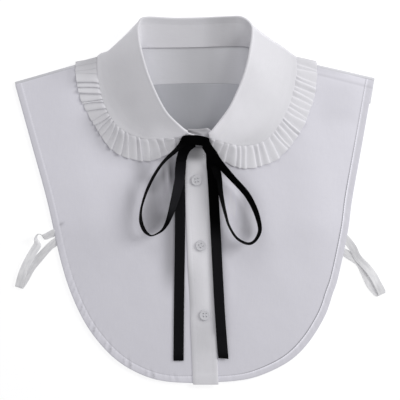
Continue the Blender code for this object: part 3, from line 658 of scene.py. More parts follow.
def thread_runs(name, paths, radius=THREAD_RADIUS):
    """Sewing thread: each path has four points, and both its ends dive into the cloth."""
    row = bmesh.new()
    for path in paths:
        run = path[-1] - path[0]
        side = np.array([run[1], -run[0], 0.0])
        side /= np.linalg.norm(side)
        rings = []
        for centre, size in zip(path, THREAD_ENDS):
            ring = bmesh.ops.create_circle(row, segments=6, radius=1.0)["verts"]
            for corner in ring:
                offset = side * corner.co.x + np.array([0.0, 0.0, 0.8]) * corner.co.y
                corner.co = Vector((centre + offset * radius * size) * MM)
            rings.append(ring)
        for one, other in zip(rings, rings[1:]):
            edges = {e for v in one + other for e in v.link_edges}
            ends = [e for e in edges if set(e.verts) <= set(one) or set(e.verts) <= set(other)]
            bmesh.ops.bridge_loops(row, edges=ends)
        for ring in (rings[0], rings[-1]):
            bmesh.ops.contextual_create(row, geom=ring)
    bmesh.ops.recalc_face_normals(row, faces=row.faces[:])
    for face in row.faces:
        face.smooth = True
    piece = add_piece(name, row, THREAD)
    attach(piece, "root")
    return piece


def stitches(name, line):
    """A row of lock stitches along a line of points."""
    along = distances(line)
    paths = []
    for start in np.arange(0.4, along[-1] - STITCH_LENGTH, STITCH_PITCH):
        path = points_at(np.linspace(start, start + STITCH_LENGTH, 4), along, line)
        path[:, 2] += np.array(STITCH_HEIGHTS)
        paths.append(path)
    return thread_runs(name, paths)


def make_front(side, width, **lie):
    """One front with the thread of its hem; lie says how it is cut and how it lies."""
    grid, flat, tone = front_shape(**lie)
    panel = sew(f"front_{side}_cloth", grid, CLOTH, PANEL_POPLIN, tone, flat=flat)
    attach(panel, "root")
    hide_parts(f"front_panel_{side}")
    column = INNER_COLUMNS + [row[0] for row in HEM_PROFILE].index(STITCH)
    line = grid[2:-1, column] + np.array([0.0, 0.0, CLOTH / 2 + 0.06])
    thread = stitches(f"hem_thread_{side}", line)


# Tables along the outer edge from the shoulder to the foot: puckers says how much the hem
# puckers, the next table how strong the painted highlight and shade along its stitched line are,
# and band the tone of the hem. seam is the painted shade of the line beside the shoulder, and
# upper how much paler the front is above the bow's ends.
make_front(
    "left",
    0.19,
    edge=LEFT_EDGE,
    neck=left_neck + [left_centre[0]],
    centre=left_centre,
    creases=LEFT_CREASES,
    puckers=((0.0, 0.35, 0.5, 0.62, 0.9, 1.0), (0.5, 0.6, 1.1, 2.2, 1.9, 0.5)),
    groove=((0.0, 0.5, 0.6, 1.0), (0.0, 0.05, 0.25, 0.2)),
    band=((0.0, 0.4, 0.5, 1.0), (0.87, 0.88, 0.99, 1.0)),
    seam=1.0,
    tones=LEFT_SHADE_AND_HIGHLIGHT,
    upper=0.05,
)
make_front(
    "right",
    0.20,
    edge=RIGHT_EDGE,
    neck=right_neck + [right_centre[0]],
    centre=right_centre,
    creases=RIGHT_CREASES,
    puckers=((0.0, 0.3, 0.6, 0.9, 1.0), (0.3, 0.3, 0.5, 0.6, 0.3)),
    groove=((0.0, 0.12, 0.3, 0.8, 0.9, 1.0), (0.35, 0.5, 1.0, 0.9, 0.3, 0.2)),
    band=((0.0, 0.3, 0.5, 1.0), (0.83, 0.86, 0.94, 0.98)),
    seam=0.88,
    tones=RIGHT_SHADE_AND_HIGHLIGHT,
    upper=0.035,
)

# Button placket. A doubled strip of poplin with interlining, sewn on the edge of the left
# front and lying over the right one, with a row of stitches down each side.
PLACKET_WIDTH = 26.5
PLACKET_WALL = 1.1
PLACKET_ROWS = 110
PLACKET_HEM = (-191.8, -192.5, PLACKET_FOOT)  # Y of its last rows, which bend down
PLACKET_EDGE = (0.55, 1.8)  # how far its edges bend down, and over what width
PLACKET_PUCKERS = ((0.05, 8.3, 0.0), (0.04, 5.1, 1.0))  # height, pitch and phase
PUCKER_STRIP = (5.5, 2.6)  # in from either edge, and half width
STITCH_COLUMN = 6
# From its edge to its middle: in from the edge, and height.
PLACKET_PROFILE = (
    (0.0, -0.42), (0.35, -0.22), (1.2, -0.06), (2.6, 0.02), (4.4, 0.03), (5.1, 0.0), (5.5, -0.03),
    (5.9, 0.0), (6.6, 0.04), (8.5, 0.08), (11.0, 0.1), (13.25, 0.1),
)
PLACKET_POPLIN = poplin("placket_poplin", (0.80, 0.795, 0.825))


def height_over(x, y, *names):
    """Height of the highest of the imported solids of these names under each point."""
    high = np.zeros(np.shape(x))
    for name in names:
        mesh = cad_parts[name].data
        faces = [face.vertices for face in mesh.polygons]
        tree = BVHTree.FromPolygons([corner.co for corner in mesh.vertices], faces)
        for at in np.ndindex(np.shape(x)):
            spot = Vector((x[at] * MM, y[at] * MM, 1.0))
            hit = tree.ray_cast(spot, Vector((0.0, 0.0, -1.0)))[0]
            if hit is not None:
                high[at] = max(high[at], hit.z / MM)
    return high


def placket_shape():
    """The placket's points, on top of its solid, from its top to its foot."""
    half = np.array(PLACKET_PROFILE)
    across = np.concatenate([half[:, 0], PLACKET_WIDTH - half[-2::-1, 0]])
    edge_drop, edge_width = PLACKET_EDGE
    eased = half[:, 1] - edge_drop * bell(half[:, 0], 0.0, edge_width)
    rise = np.concatenate([eased, half[-2::-1, 1]])
    y = np.concatenate([np.linspace(PLACKET_TOP, -190.0, PLACKET_ROWS), PLACKET_HEM])
    x = placket_left(y)[:, None] + across[None, :]
    y = np.repeat(y[:, None], len(across), axis=1)
    in_x = np.clip(across, 0.3, PLACKET_WIDTH - 0.3)[None, :] + placket_left(y[:, :1])
    in_y = np.clip(y, PLACKET_FOOT + 0.3, PLACKET_TOP - 0.3)
    top = height_over(in_x + 0 * x, in_y, "button_placket")
    pull = sum(
        height * np.sin(y * 2 * math.pi / pitch + phase) for height, pitch, phase in PLACKET_PUCKERS
    )
    near = bell(np.minimum(across, PLACKET_WIDTH - across), *PUCKER_STRIP)
    z = top - PLACKET_WALL / 2 + rise[None, :] + pull * near[None, :]
    z[-1] -= 0.3
    z[-2] -= 0.1
    return np.dstack([x, y, z])


# Painted shade and light on the placket: the knot's shadow across its top, then paler and
# darker bands down it: start, end, half width, change of tone.
PLACKET_SHADE_AND_LIGHT = (
    (-3.0, 60.0, -3.0, 43.0, 16.0, -0.60), (-12.0, 14.0, -8.0, -66.0, 7.0, 0.14),
    (-14.0, -74.0, -9.0, -116.0, 5.0, -0.16), (6.0, -54.0, 8.0, -116.0, 6.0, 0.10),
    (-3.0, 24.0, 3.0, -64.0, 9.0, 0.10), (4.0, -128.0, 5.0, -158.0, 14.0, -0.09),
    (2.0, -168.0, 2.0, -192.0, 12.0, 0.03), (19.0, -162.0, 19.2, -190.0, 1.6, 0.12),
)
placket_grid = placket_shape()
placket = sew(
    "placket_cloth",
    placket_grid,
    PLACKET_WALL,
    PLACKET_POPLIN,
    1.0 + drape(placket_grid[..., 0], placket_grid[..., 1], PLACKET_SHADE_AND_LIGHT),
    flat=placket_grid[..., :2],
)
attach(placket, "root")
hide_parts("button_placket")
proud = np.array([0.0, 0.0, PLACKET_WALL / 2 - 0.02])
placket_threads = [
    stitches("placket_thread_left", placket_grid[1:-2, STITCH_COLUMN] + proud),
    stitches("placket_thread_right", placket_grid[1:-2, -1 - STITCH_COLUMN] + proud),
]

# Neckband. Two layers of poplin with firm interlining, standing round the neck. Its left end
# lies over its right end at the front, and its foot is sewn to the neck edge.
STAND_WALL = 0.85
ROLL = 1.1  # radius of the collar's turn over the band's top edge
STAND_ROWS = 241
STAND_FOOT = 0.75  # how far its foot goes into the seam
STAND_UP = (0.0, 0.03, 0.09, 0.2, 0.4, 0.6, 0.7, 0.78, 0.86, 0.94, 1.0)  # from foot to top
UNDER_END_REACH = (0.0, 8.2, 0.6)  # its under end goes on up, and shows above the upper one
UPPER_ROWS, UNDER_ROWS = slice(24), slice(222, None)  # of the two ends where they lap
COLLAR_POPLIN = poplin("collar_poplin", (0.80, 0.795, 0.825))


def neck_frames(places):
    """Base, top, rise and outward direction of the neckband at these rows of the neck."""
    rows = np.array(NECK)
    behind = (rows[:, 4] > 157.0) & (rows[:, 3] > -63.0) & (rows[:, 3] < 54.0)
    back = lift(rows[:, 3], rows[:, 4]) + 1.0
    front = front_top(rows[:, 3], rows[:, 4])
    base_z = np.where(behind, back, front) + 0.9
    on_placket = (np.abs(rows[:, 3]) < 18.0) & (rows[:, 4] < 62.0)
    base_z = base_z + np.where(on_placket, 1.5, 0.0)
    table = np.column_stack([rows[:, :3], rows[:, 3:5], base_z])
    found = between(with_guides(table), np.arange(len(table), dtype=float), places)
    fold, base = found[:, :3], found[:, 3:]
    rise = fold - base
    rise /= np.linalg.norm(rise, axis=1, keepdims=True)
    run = np.gradient(fold + base, axis=0)
    out = np.cross(rise, run)
    out /= np.linalg.norm(out, axis=1, keepdims=True)
    return base, fold - ROLL * rise, rise, out


def stand_shape():
    """The neckband's points, from its left end round the back, and from its foot to its top."""
    places = np.linspace(0.0, len(NECK) - 1.0, STAND_ROWS)
    base, top, rise, _ = neck_frames(places)
    foot = base - rise * STAND_FOOT
    tongue = smooth(places, 21.4, 22.3)
    top = top + tongue[:, None] * np.array(UNDER_END_REACH)
    share = np.array(STAND_UP)
    return foot[:, None] + (top - foot)[:, None] * share[None, :, None]


stand_grid = stand_shape()
# The inside of the neckband behind, in painted shade that deepens where the collar's right side
# shadows it: X and tone of the cloth there.
BAND_X = (-60.0, -40.0, -10.0, 2.0, 12.0, 24.0, 36.0, 46.0)
BAND_SHADE = (1.02, 0.97, 0.91, 0.88, 0.76, 0.70, 0.74, 0.95)


def band_shading(grid):
    """Painted shade of the band's inside, and painted shadow on its front under the knot."""
    behind = smooth(grid[..., 1], 128.0, 150.0)
    knot_shadow = smooth(-grid[..., 1], -63.0, -60.0) * smooth(-np.abs(grid[..., 0]), -14.0, -8.0)
    return 1.0 + (np.interp(grid[..., 0], BAND_X, BAND_SHADE) - 1.0) * behind - 0.6 * knot_shadow


# Where the ends lap: a painted highlight on the upper one, and a painted shadow line along it
# on the under one. Start, end, half width and change of tone.
UPPER_SHEEN = ((-16.0, 71.0, 6.0, 66.2, 3.2, 0.50),)
UNDER_SHADOW_LINE = ((-13.0, 72.4, 1.4, 68.8, 1.1, -0.70),)
stand_shading = band_shading(stand_grid)
upper_x, upper_y = stand_grid[UPPER_ROWS, :, 0], stand_grid[UPPER_ROWS, :, 1]
under_x, under_y = stand_grid[UNDER_ROWS, :, 0], stand_grid[UNDER_ROWS, :, 1]
# Painted shade on the under end, where the collar's ends overhang it.
shaded = smooth(under_y, 70.0, 73.5) * (1.0 - smooth(under_x, 4.0, 11.0))
stand_shading[UNDER_ROWS] -= 0.36 * shaded
stand_shading[UPPER_ROWS] += drape(upper_x, upper_y, UPPER_SHEEN)
stand_shading[UNDER_ROWS] += drape(under_x, under_y, UNDER_SHADOW_LINE)
stand = sew("neckband_cloth", stand_grid, STAND_WALL, COLLAR_POPLIN, stand_shading)
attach(stand, "root")
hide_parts("collar_stand")

# Collar. Two layers of poplin with light interlining, seamed along the neckband's top edge
# and folded down over it: flat on the fronts, and under the back behind the shoulders.
LEAF_WALL = 0.9
LIP = 7.0  # how far the collar reaches down inside the neckband
# Share of the lip and how far it stands in from the band, from its edge up to the roll.
LIP_STEPS = ((1.0, -0.1), (0.7, 0.1), (0.35, 0.55))
LEAF_GAP = 0.4  # over the fronts, or under the back
# Guide points of the fall: share of the way from the roll to the seam, and what is lost or left
# of the height there on the fronts. Under the back it is all lost at the first one.
NEAR, NEAR_LOST = 0.36, 0.40
FAR, FAR_LEFT = 0.74, 0.20
FLAT, FLAT_LEFT = 0.9, 0.06
NARROW_FALL = 30.0  # a fall narrower than this runs straight down
FULL_BOW = 0.55  # share of the soft curve in the fall's rounding, the rest is straight
# Stretches between the fall's guide points, and the steps in each. The last two are straight.
FALL_ROWS = ((1, 6), (2, 6), (3, 4), (4, 3))
# Fall of the collar: row of the neck that it hangs from, side (1 on the fronts, 0 under the
# back), seam x, seam y, edge x, edge y, how far the seam and the edge stand off the cloth, and
# how far the fall bends down the page before its seam.
FALL = (
    (2.0, 1.0, -16.6, 67.0, -18.6, 62.8, 8.2, 3.4, 0.0),
    (2.5, 1.0, -26.6, 65.6, -24.4, 57.0, 5.8, 2.0, 0.0),
    (3.0, 1.0, -37.5, 64.7, -31.4, 50.0, 3.7, 1.6, 0.0),
    (3.5, 1.0, -49.0, 64.5, -43.4, 43.9, 2.0, 0.5, 0.0),
    (4.0, 1.0, -61.5, 65.0, -58.5, 41.0, 0.6, 0.1, 0.0),
    (5.0, 1.0, -85.0, 76.5, -92.0, 52.5, 0.0, 0.0, 0.0),
    (6.0, 1.0, -99.8, 99.5, -120.5, 96.5, 0.0, 0.0, 0.0),
    (7.0, 1.0, -106.6, 127.5, -129.7, 128.0, 0.0, 0.0, 0.0),
    (7.9, 1.0, -107.4, 148.2, -130.4, 142.0, 0.0, 0.0, 2.5),
    (8.2, 0.5, -107.2, 150.3, -130.2, 144.2, 0.0, 0.0, 4.0),
    (8.5, 0.0, -106.4, 148.2, -129.2, 142.0, 0.0, 0.0, 3.0),
    (9.1, 0.0, -90.0, 138.5, -110.0, 122.0, 0.0, 0.0, 0.0),
    (10.0, 0.0, -50.0, 131.5, -58.0, 109.5, 0.0, 0.0, 0.0),
    (11.0, 0.0, 0.0, 130.5, 0.0, 108.0, 0.0, 0.0, 0.0),
    (12.0, 0.0, 36.0, 131.0, 40.0, 108.5, 0.0, 0.0, 0.0),
    (12.8, 0.0, 64.0, 133.5, 72.0, 112.0, 0.0, 0.0, 0.0),
    (13.4, 0.0, 84.0, 139.5, 102.0, 124.0, 0.0, 0.0, 0.0),
    (13.8, 0.0, 98.5, 148.2, 119.0, 143.2, 0.0, 0.0, -1.0),
    (14.1, 0.5, 100.0, 150.8, 121.0, 146.0, 0.0, 0.0, -1.0),
    (14.5, 1.0, 100.6, 148.2, 122.3, 143.2, 0.0, 0.0, -1.0),
    (15.5, 1.0, 101.0, 134.5, 122.0, 129.5, 0.0, 0.0, 0.0),
    (16.7, 1.0, 97.5, 115.0, 118.5, 105.0, 0.0, 0.0, 0.0),
    (18.0, 1.0, 88.0, 88.0, 106.5, 74.0, 0.0, 0.0, 0.0),
    (19.0, 1.0, 69.0, 63.3, 80.5, 42.5, 0.0, 0.0, 0.0),
    (20.0, 1.0, 45.5, 57.0, 45.6, 33.4, 0.3, 0.0, 0.0),
    (21.0, 1.0, 26.0, 60.6, 19.6, 44.2, 2.6, 0.3, 0.0),
    (22.0, 1.0, 9.0, 65.4, 8.0, 58.0, 7.2, 2.4, 0.0),
)


def fall_rows(places):
    """Side, seam, outer edge and heights of the fall at these rows of the neck."""
    rows = np.array(FALL)
    found = between(with_guides(rows), rows[:, 0], places)
    side = np.clip(found[:, 1], 0.0, 1.0)
    up = np.maximum(found[:, 6:8], 0.0)
    return side, found[:, 2:4], found[:, 4:6], up, found[:, 8]


def resting(side, x, y):
    """Height of the side of the fall that faces the blouse, over the fronts or under the back."""
    fronts = height_over(
        x, y, "front_panel_left", "front_panel_right", "back_yoke", "button_placket"
    )
    fronts = np.maximum(fronts, front_top(x, y)) + LEAF_GAP
    back = lift(x, y) - LEAF_GAP
    return fronts * side + back * (1.0 - side)


def softened(values, width):
    """Evens out small steps along a piece."""
    weight = bell(np.arange(-width, width + 1), 0.0, 0.5 * width)
    weight = weight / weight.sum()
    padded = np.concatenate(
        [np.repeat(values[:1], width, 0), values, np.repeat(values[-1:], width, 0)]
    )
    return np.stack([np.convolve(column, weight, "valid") for column in padded.T], axis=1)


def leaf_places():
    """Rows of the neck where the collar is drawn, closer where it turns round the shoulders."""
    fine = np.linspace(2.0, 22.0, 161)
    turns = np.concatenate([np.linspace(7.7, 8.7, 31), np.linspace(13.6, 14.6, 31)])
    places = np.unique(np.round(np.concatenate([fine, turns]), 3))
    return places[np.append(np.diff(places), 1.0) > 0.02]


def laid(outside, end, share, left, side):
    """Points of the fall at a share of its way, with a share of its height left on the fronts."""
    straight = outside + (end - outside) * share
    low = straight.copy()
    low[:, 2] = end[:, 2] + (outside[:, 2] - end[:, 2]) * left * side
    wide = np.linalg.norm((end - outside)[:, :2], axis=1) / NARROW_FALL
    wide = np.clip(wide, 0.0, 1.0)[:, None]
    return low * wide + straight * (1 - wide)


def leaf_shape():
    """The collar's points: up inside the band, over its top, and down the fall to the seam."""
    places = leaf_places()
    _, top, rise, out = neck_frames(places)
    side, seam, _, up, bend = fall_rows(places)
    seam_z = resting(side, seam[:, 0], seam[:, 1]) + (side - 0.5) + up[:, 0]
    end = np.column_stack([seam, softened(seam_z[:, None], 2)[:, 0]])
    outside = top + ROLL * out
    near = outside + (end - outside) * NEAR
    lost = NEAR_LOST + (1.0 - NEAR_LOST) * (1.0 - side)
    near[:, 2] = outside[:, 2] + (end[:, 2] - outside[:, 2]) * lost
    far = laid(outside, end, FAR, FAR_LEFT, side)
    flat = laid(outside, end, FLAT, FLAT_LEFT, side)
    near[:, 1] -= bend * 0.4
    far[:, 1] -= bend
    roll = [top - inset * out - LIP * s * rise for s, inset in LIP_STEPS]
    for angle in np.radians(np.linspace(0.0, 180.0, 9)):
        roll.append(top + ROLL * (math.sin(angle) * rise - math.cos(angle) * out))
    knots = np.stack([roll[-2], outside, near, far, flat, end], axis=1)
    guide = np.concatenate([knots, 2 * knots[:, -1:] - knots[:, -2:-1]], axis=1)
    body = []
    for k, count in FALL_ROWS:
        a, b, c, d = (guide[:, k + m] for m in (-1, 0, 1, 2))
        for t in np.linspace(0.0, 1.0, count + 1)[1:]:
            straight = b + (c - b) * t
            bowed = FULL_BOW * soft_curve(a, b, c, d, t) + (1.0 - FULL_BOW) * straight
            body.append(bowed if k < 3 else straight)
    grid = np.stack(roll + body, axis=1)
    last = grid[:, -1] - grid[:, -2]
    onward = last / np.linalg.norm(last, axis=1, keepdims=True)
    tail = [grid[:, -1] - onward * 0.5, grid[:, -1] + onward * 0.1]
    return np.concatenate([grid[:, :-1], np.stack(tail, axis=1)], axis=1)


# Painted light and shade on the collar: paler on the right leaf and towards the knot, darker on
# the left: start, end, half width, change of tone.
LEAF_SHADE_AND_LIGHT = (
    (-84.0, 152.0, -78.0, 96.0, 22.0, -0.07), (14.0, 108.0, 40.0, 60.0, 26.0, 0.12),
    (70.0, 150.0, 84.0, 70.0, 22.0, 0.04), (12.0, 84.0, 24.0, 58.0, 14.0, 0.14),
    (-50.0, 70.0, -10.0, 66.0, 10.0, 0.20), (-74.0, 108.0, -64.0, 80.0, 11.0, -0.05),
    (34.0, 94.0, 56.0, 72.0, 20.0, 0.09),
)
leaf_grid = leaf_shape()
leaf_shading = 1.0 + drape(leaf_grid[..., 0], leaf_grid[..., 1], LEAF_SHADE_AND_LIGHT)
leaf_shading[:, :5] = band_shading(leaf_grid[:, :5])
leaf = sew("collar_cloth", leaf_grid, LEAF_WALL, COLLAR_POPLIN, leaf_shading)
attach(leaf, "root")
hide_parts("collar_leaf")

# Ruffle. One straight strip of poplin laid in knife pleats about 6 mm apart and sewn into the
# collar's edge. Each pleat laps the one before it, pressed flat at the seam and open outside.
PLEATS = 90
RUFFLE_CLOTH = 0.28
RUFFLE_SEED = 11
SEAM_REACH = 0.4  # how far the ruffle goes into the collar's seam
RUFFLE_SINK = 0.35  # how far it drops below the collar towards its free edge
PLEAT_GAP = 0.16  # from what lies below to the lowest of a pleat
TURN_PRESS = 0.6  # share of the pleats' height that is pressed away where the collar turns under
# The pleats' mean height and how much lower they get outwards, and how far each differs.
TALL, TALL_RANGE = 0.95, 0.36
FADE, FADE_RANGE = 0.34, 0.34
# How far each pleat differs in its place, its lean and its curl, in pleats, and in its length.
SHIFT_RANGE, LEAN_RANGE, CURL_RANGE, REACH_RANGE = 0.27, 0.38, 0.16, 0.5
# How close the pleats lie along the collar: rows of the neck, and share of the even pitch.
CLOSE_ROWS = (2.0, 4.2, 5.2, 18.4, 19.4, 22.0)
CLOSE_PITCH = (0.70, 0.72, 1.0, 1.0, 0.82, 0.8)
# One pleat: along the seam from its folded edge to the next, under it and back; and its height.
PLEAT_PATH = (
    (0.00, 0.60), (0.02, 0.86), (0.11, 1.08), (0.28, 1.04), (0.48, 0.78), (0.66, 0.44),
    (0.82, 0.18), (0.98, 0.05), (1.12, 0.02), (1.16, 0.10), (1.10, 0.28), (1.03, 0.46),
)
# From the seam out to the free edge: share of the width and how far a pleat stands up there.
PLEAT_RISE = (
    (0.0, 0.7), (0.05, 1.4), (0.13, 2.0), (0.24, 1.8), (0.4, 1.6), (0.6, 1.75), (0.8, 2.0),
    (0.94, 2.2), (1.0, 2.2),
)
RUFFLE_POPLIN = poplin("ruffle_poplin", (0.80, 0.795, 0.825))


def even_places(count):
    """Rows of the neck at even steps along the ruffle."""
    fine = np.linspace(2.0, 22.0, 1201)
    side, seam, edge, _, _ = fall_rows(fine)
    line = np.column_stack([seam * 0.5 + edge * 0.5, side * 3.0])
    steps = np.linalg.norm(np.diff(line, axis=0), axis=1)
    closer = np.interp(fine[1:], CLOSE_ROWS, CLOSE_PITCH)
    along = np.concatenate([[0.0], np.cumsum(steps * closer)])
    return np.interp(np.linspace(0.0, along[-1], count), along, fine)


def ruffle_base(side, seam, edge, up, share):
    """Outward direction of the ruffle, the cloth's place before it is pleated, and its normals."""
    run = edge - seam
    run /= np.linalg.norm(run, axis=1, keepdims=True)
    start = seam - run * SEAM_REACH
    plan = start[:, None] + (edge - start)[:, None] * share[None, :, None]
    low = resting(side[:, None] + 0 * share, plan[..., 0], plan[..., 1])
    low = softened(low, 3)
    low = low + up[:, :1] + (up[:, 1:] - up[:, :1]) * share[None, :]
    low = low - RUFFLE_SINK * np.sqrt(share)[None, :]
    base = np.dstack([plan, low])
    normal = np.cross(np.gradient(base, axis=0), np.gradient(base, axis=1))
    normal /= np.linalg.norm(normal, axis=-1, keepdims=True)
    if normal[5, 1, 2] < 0:  # the pleats stand up from the fronts
        normal = -normal
    return run, base, normal


def pleat_points():
    """Points of the folded strip, in pleats along the seam: place, height, and its own pleat."""
    at, rise, which = [], [], []
    for k in range(PLEATS):
        for s, h in PLEAT_PATH:
            at.append(k + s)
            rise.append(h)
            which.append(k + (1 if s > 1.0 and h > 0.2 else 0))
    at, rise, which = np.array(at), np.array(rise), np.array(which)
    inside = at <= PLEATS
    return at[inside], rise[inside], which[inside]


def pleat_press(side, edge):
    """How far the pleats stand up: flat where the collar turns under, and less at the right."""
    x, y = edge[:, 0], edge[:, 1]
    press = 1.0 - TURN_PRESS * 4.0 * side * (1.0 - side)
    press = press * (1.0 - 0.25 * smooth(x, 20.0, 70.0))
    head = np.where(x < 0, smooth(y, 121.0, 134.0), smooth(y, 136.0, 146.0))
    return press * (1.0 - 0.8 * head * (side > 0.5))


def ruffle_shape():
    """The ruffle's points, along the folded strip and from the seam out to the free edge."""
    count = 4 * PLEATS + 1
    side, seam, edge, up, _ = fall_rows(even_places(count))
    share, stand_up = np.array(PLEAT_RISE).T
    run, base, normal = ruffle_base(side, seam, edge, up, share)
    chance = np.random.default_rng(RUFFLE_SEED)
    tall, shift, lean, reach, bow, fade = chance.uniform(-1.0, 1.0, (6, PLEATS + 2))
    tall = TALL + TALL_RANGE * tall
    fade = FADE + FADE_RANGE * fade
    even = np.arange(PLEATS + 2)
    folds = np.clip(even + SHIFT_RANGE * shift, 0.0, PLEATS)
    at, rise, which = pleat_points()
    sway = np.interp(at, even, LEAN_RANGE * lean)
    curl = np.interp(at, even, CURL_RANGE * bow)
    at = np.interp(at, even, folds)
    steps = np.linspace(0.0, PLEATS, count)
    softer = np.interp(at, steps, 1.0 + 0.4 * smooth(edge[:, 0], 30.0, 90.0))
    press = np.interp(at, steps, pleat_press(side, edge))
    grid = np.zeros((len(at), len(share), 3))
    for j, w in enumerate(share):
        place = np.clip(at + sway * w**1.2 + curl * math.sin(w * math.pi), 0.0, PLEATS)
        pleat_rise = rise * stand_up[j] * press * tall[which] * (1.0 - fade[which] * softer * w)
        foot = points_at(place, steps, base[:, j])
        tilt = points_at(place, steps, normal[:, j])
        grid[:, j] = foot + tilt * (PLEAT_GAP + pleat_rise)[:, None]
    out = points_at(at, steps, run)
    longer = REACH_RANGE * reach[which] + 0.5 * (rise - 0.6)
    grid[:, :, :2] += out[:, None] * (longer[:, None] * share[None, :] ** 3)[..., None]
    return grid


ruffle_grid = ruffle_shape()
# Painted shade on the ruffle, where it turns away at both shoulders and low on the left: start,
# end, half width, change of tone.
RUFFLE_SHADE = (
    (-132.0, 154.0, -104.0, 150.0, 12.0, -0.24), (-128.0, 144.0, -112.0, 130.0, 12.0, -0.07),
    (-116.0, 96.0, -72.0, 48.0, 16.0, -0.10), (98.0, 153.0, 122.0, 147.0, 6.0, -0.20),
)
# Painted light: the ruffle is paler towards the right, on the lit side.
ruffle_shading = 0.98 + 0.10 * smooth(ruffle_grid[..., 0], 10.0, 50.0)
ruffle_shading += drape(ruffle_grid[..., 0], ruffle_grid[..., 1], RUFFLE_SHADE)
ruffle = sew("ruffle_cloth", ruffle_grid, RUFFLE_CLOTH, RUFFLE_POPLIN, ruffle_shading)
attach(ruffle, "root")
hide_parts("collar_ruffle")

# Side tapes. Narrow white woven tape, folded into a loop and caught under the hem at each
# side. Each lies on the table with one soft twist, and the left one's twist stands on edge.
TAPE_WIDTH = 8.6
TAPE_WALL = 0.7
TAPE_ROWS = 110
STRIP_WALL = 1.0  # of tape and ribbon in the solids: the tables give its underside
# Across a tape or ribbon, in shares of its width.
ACROSS = (-0.5, -0.46, -0.25, 0.0, 0.25, 0.46, 0.5)
# From the hem round the fold and back: x, y, z, compass angle and tilt of the width.
LEFT_TAPE = (
    (-151.5, -33.2, 1.6, 112.0, 20.0), (-157.2, -35.8, 2.4, 112.0, 34.0),
    (-161.4, -37.8, 3.4, 110.0, 40.0), (-164.4, -38.2, 4.2, 108.0, 54.0),
    (-166.2, -35.8, 4.5, 104.0, 82.0), (-169.4, -35.2, 4.4, 108.0, 87.0),
    (-171.5, -37.6, 4.3, 138.0, 86.0), (-171.5, -41.0, 3.8, 158.0, 64.0),
    (-170.0, -45.6, 2.6, 152.0, 18.0), (-173.9, -52.5, 2.2, 150.0, 6.0),
    (-180.0, -63.0, 2.2, 155.0, 0.0), (-185.9, -76.0, 1.8, 160.0, 0.0),
    (-189.9, -90.6, 1.4, 163.0, 0.0), (-189.0, -90.6, 0.1, 160.0, 0.0),
    (-183.7, -82.4, 0.1, 150.0, 0.0), (-177.0, -70.5, 0.1, 144.0, 0.0),
    (-170.6, -62.6, 0.3, 138.0, 4.0), (-163.4, -54.4, 1.6, 134.0, 24.0),
    (-157.0, -47.8, 1.7, 132.0, 26.0), (-149.0, -41.6, 0.5, 122.0, 10.0),
)
RIGHT_TAPE = (
    (148.6, -36.0, 1.0, 58.0, 0.0), (154.4, -42.0, 1.6, 52.0, 0.0), (160.7, -50.4, 1.9, 42.0, 10.0),
    (165.5, -60.0, 2.2, 38.0, 22.0), (174.5, -69.5, 2.2, 38.0, 8.0),
    (181.5, -78.5, 2.0, 32.0, 0.0), (186.5, -88.0, 1.8, 27.0, 0.0),
    (190.8, -97.0, 1.4, 24.0, 0.0), (187.6, -98.6, 0.1, 24.0, 0.0),
    (178.6, -88.0, 0.1, 28.0, 0.0), (172.3, -74.5, 0.1, 32.0, 0.0),
    (166.0, -63.8, 0.1, 42.0, 0.0), (150.0, -53.6, 0.1, 82.0, 0.0),
)


def tape_finish():
    """Twill tape: slanting ribs, uneven yarns and soft streaks along it."""
    tape, tree, shader = new_finish("woven_tape", {"Roughness": 0.75, "Sheen Weight": 0.1})
    weave = step(tree, "UVMap", {}, uv_map="weave")["UV"]
    slant = step(
        tree, "TexWave", {"Vector": weave, "Scale": 0.42}, bands_direction="DIAGONAL"
    )["Fac"]
    yarn = noise(tree, weave, 1.7)
    streaks = noise(tree, stretched(tree, weave, (0.45, 0.09, 1.0)), 1.0, 3.0)
    streaks = spread(tree, streaks, 0.35, 0.6)
    colour = mixed(tree, streaks, (0.86, 0.86, 0.88, 1.0), (0.98, 0.98, 0.99, 1.0))
    join_colour(tree, shader, colour)
    join_relief(tree, shader, combined(tree, "ADD", slant, yarn), 0.00009, 0.8)
    return tape


WOVEN_TAPE = tape_finish()


def ribbon_grid(rows, count, width, over=()):
    """A ribbon along a table of x, y, z, compass angle and tilt of its width."""
    found = through(rows, count)
    yaw, tilt = np.radians(found[:, 3]), np.radians(found[:, 4])
    flat = np.cos(tilt)
    side = np.column_stack([np.cos(yaw) * flat, np.sin(yaw) * flat, np.sin(tilt)])
    z = found[:, 2] + STRIP_WALL / 2
    if over:
        reach = side[:, None] * width * np.linspace(-0.5, 0.5, 5)[None, :, None]
        under = found[:, None, :3] + reach
        high = height_over(under[..., 0], under[..., 1], *over)
        lifted = np.max(high - reach[..., 2], axis=1)
        z = z + softened(lifted[:, None], 4)[:, 0]
    path = np.column_stack([found[:, :2], z])
    return path[:, None] + side[:, None] * width * np.array(ACROSS)[None, :, None]


def length_tone(grid, table):
    """Tones of a tape or ribbon from a table of shares of its length and tones."""
    return np.interp(np.linspace(0.0, 1.0, len(grid)), *table)[:, None] + 0.0 * grid[..., 0]


# Along each tape from the hem, round its fold and back: share of its length and tone, darker with
# painted shade near the hem and round the fold.
TAPE_SHADE = (
    (0.0, 0.14, 0.24, 0.44, 0.50, 0.56, 0.8, 1.0),
    (0.84, 0.86, 1.0, 1.0, 0.86, 0.94, 0.86, 0.84),
)
for side_name, rows in (("left", LEFT_TAPE), ("right", RIGHT_TAPE)):
    tape_grid = ribbon_grid(rows, TAPE_ROWS, TAPE_WIDTH)
    tape_shading = length_tone(tape_grid, TAPE_SHADE)
    tape = sew(f"tape_{side_name}", tape_grid, TAPE_WALL, WOVEN_TAPE, tape_shading)
    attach(tape, "root")
    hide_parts(f"strap_{side_name}")

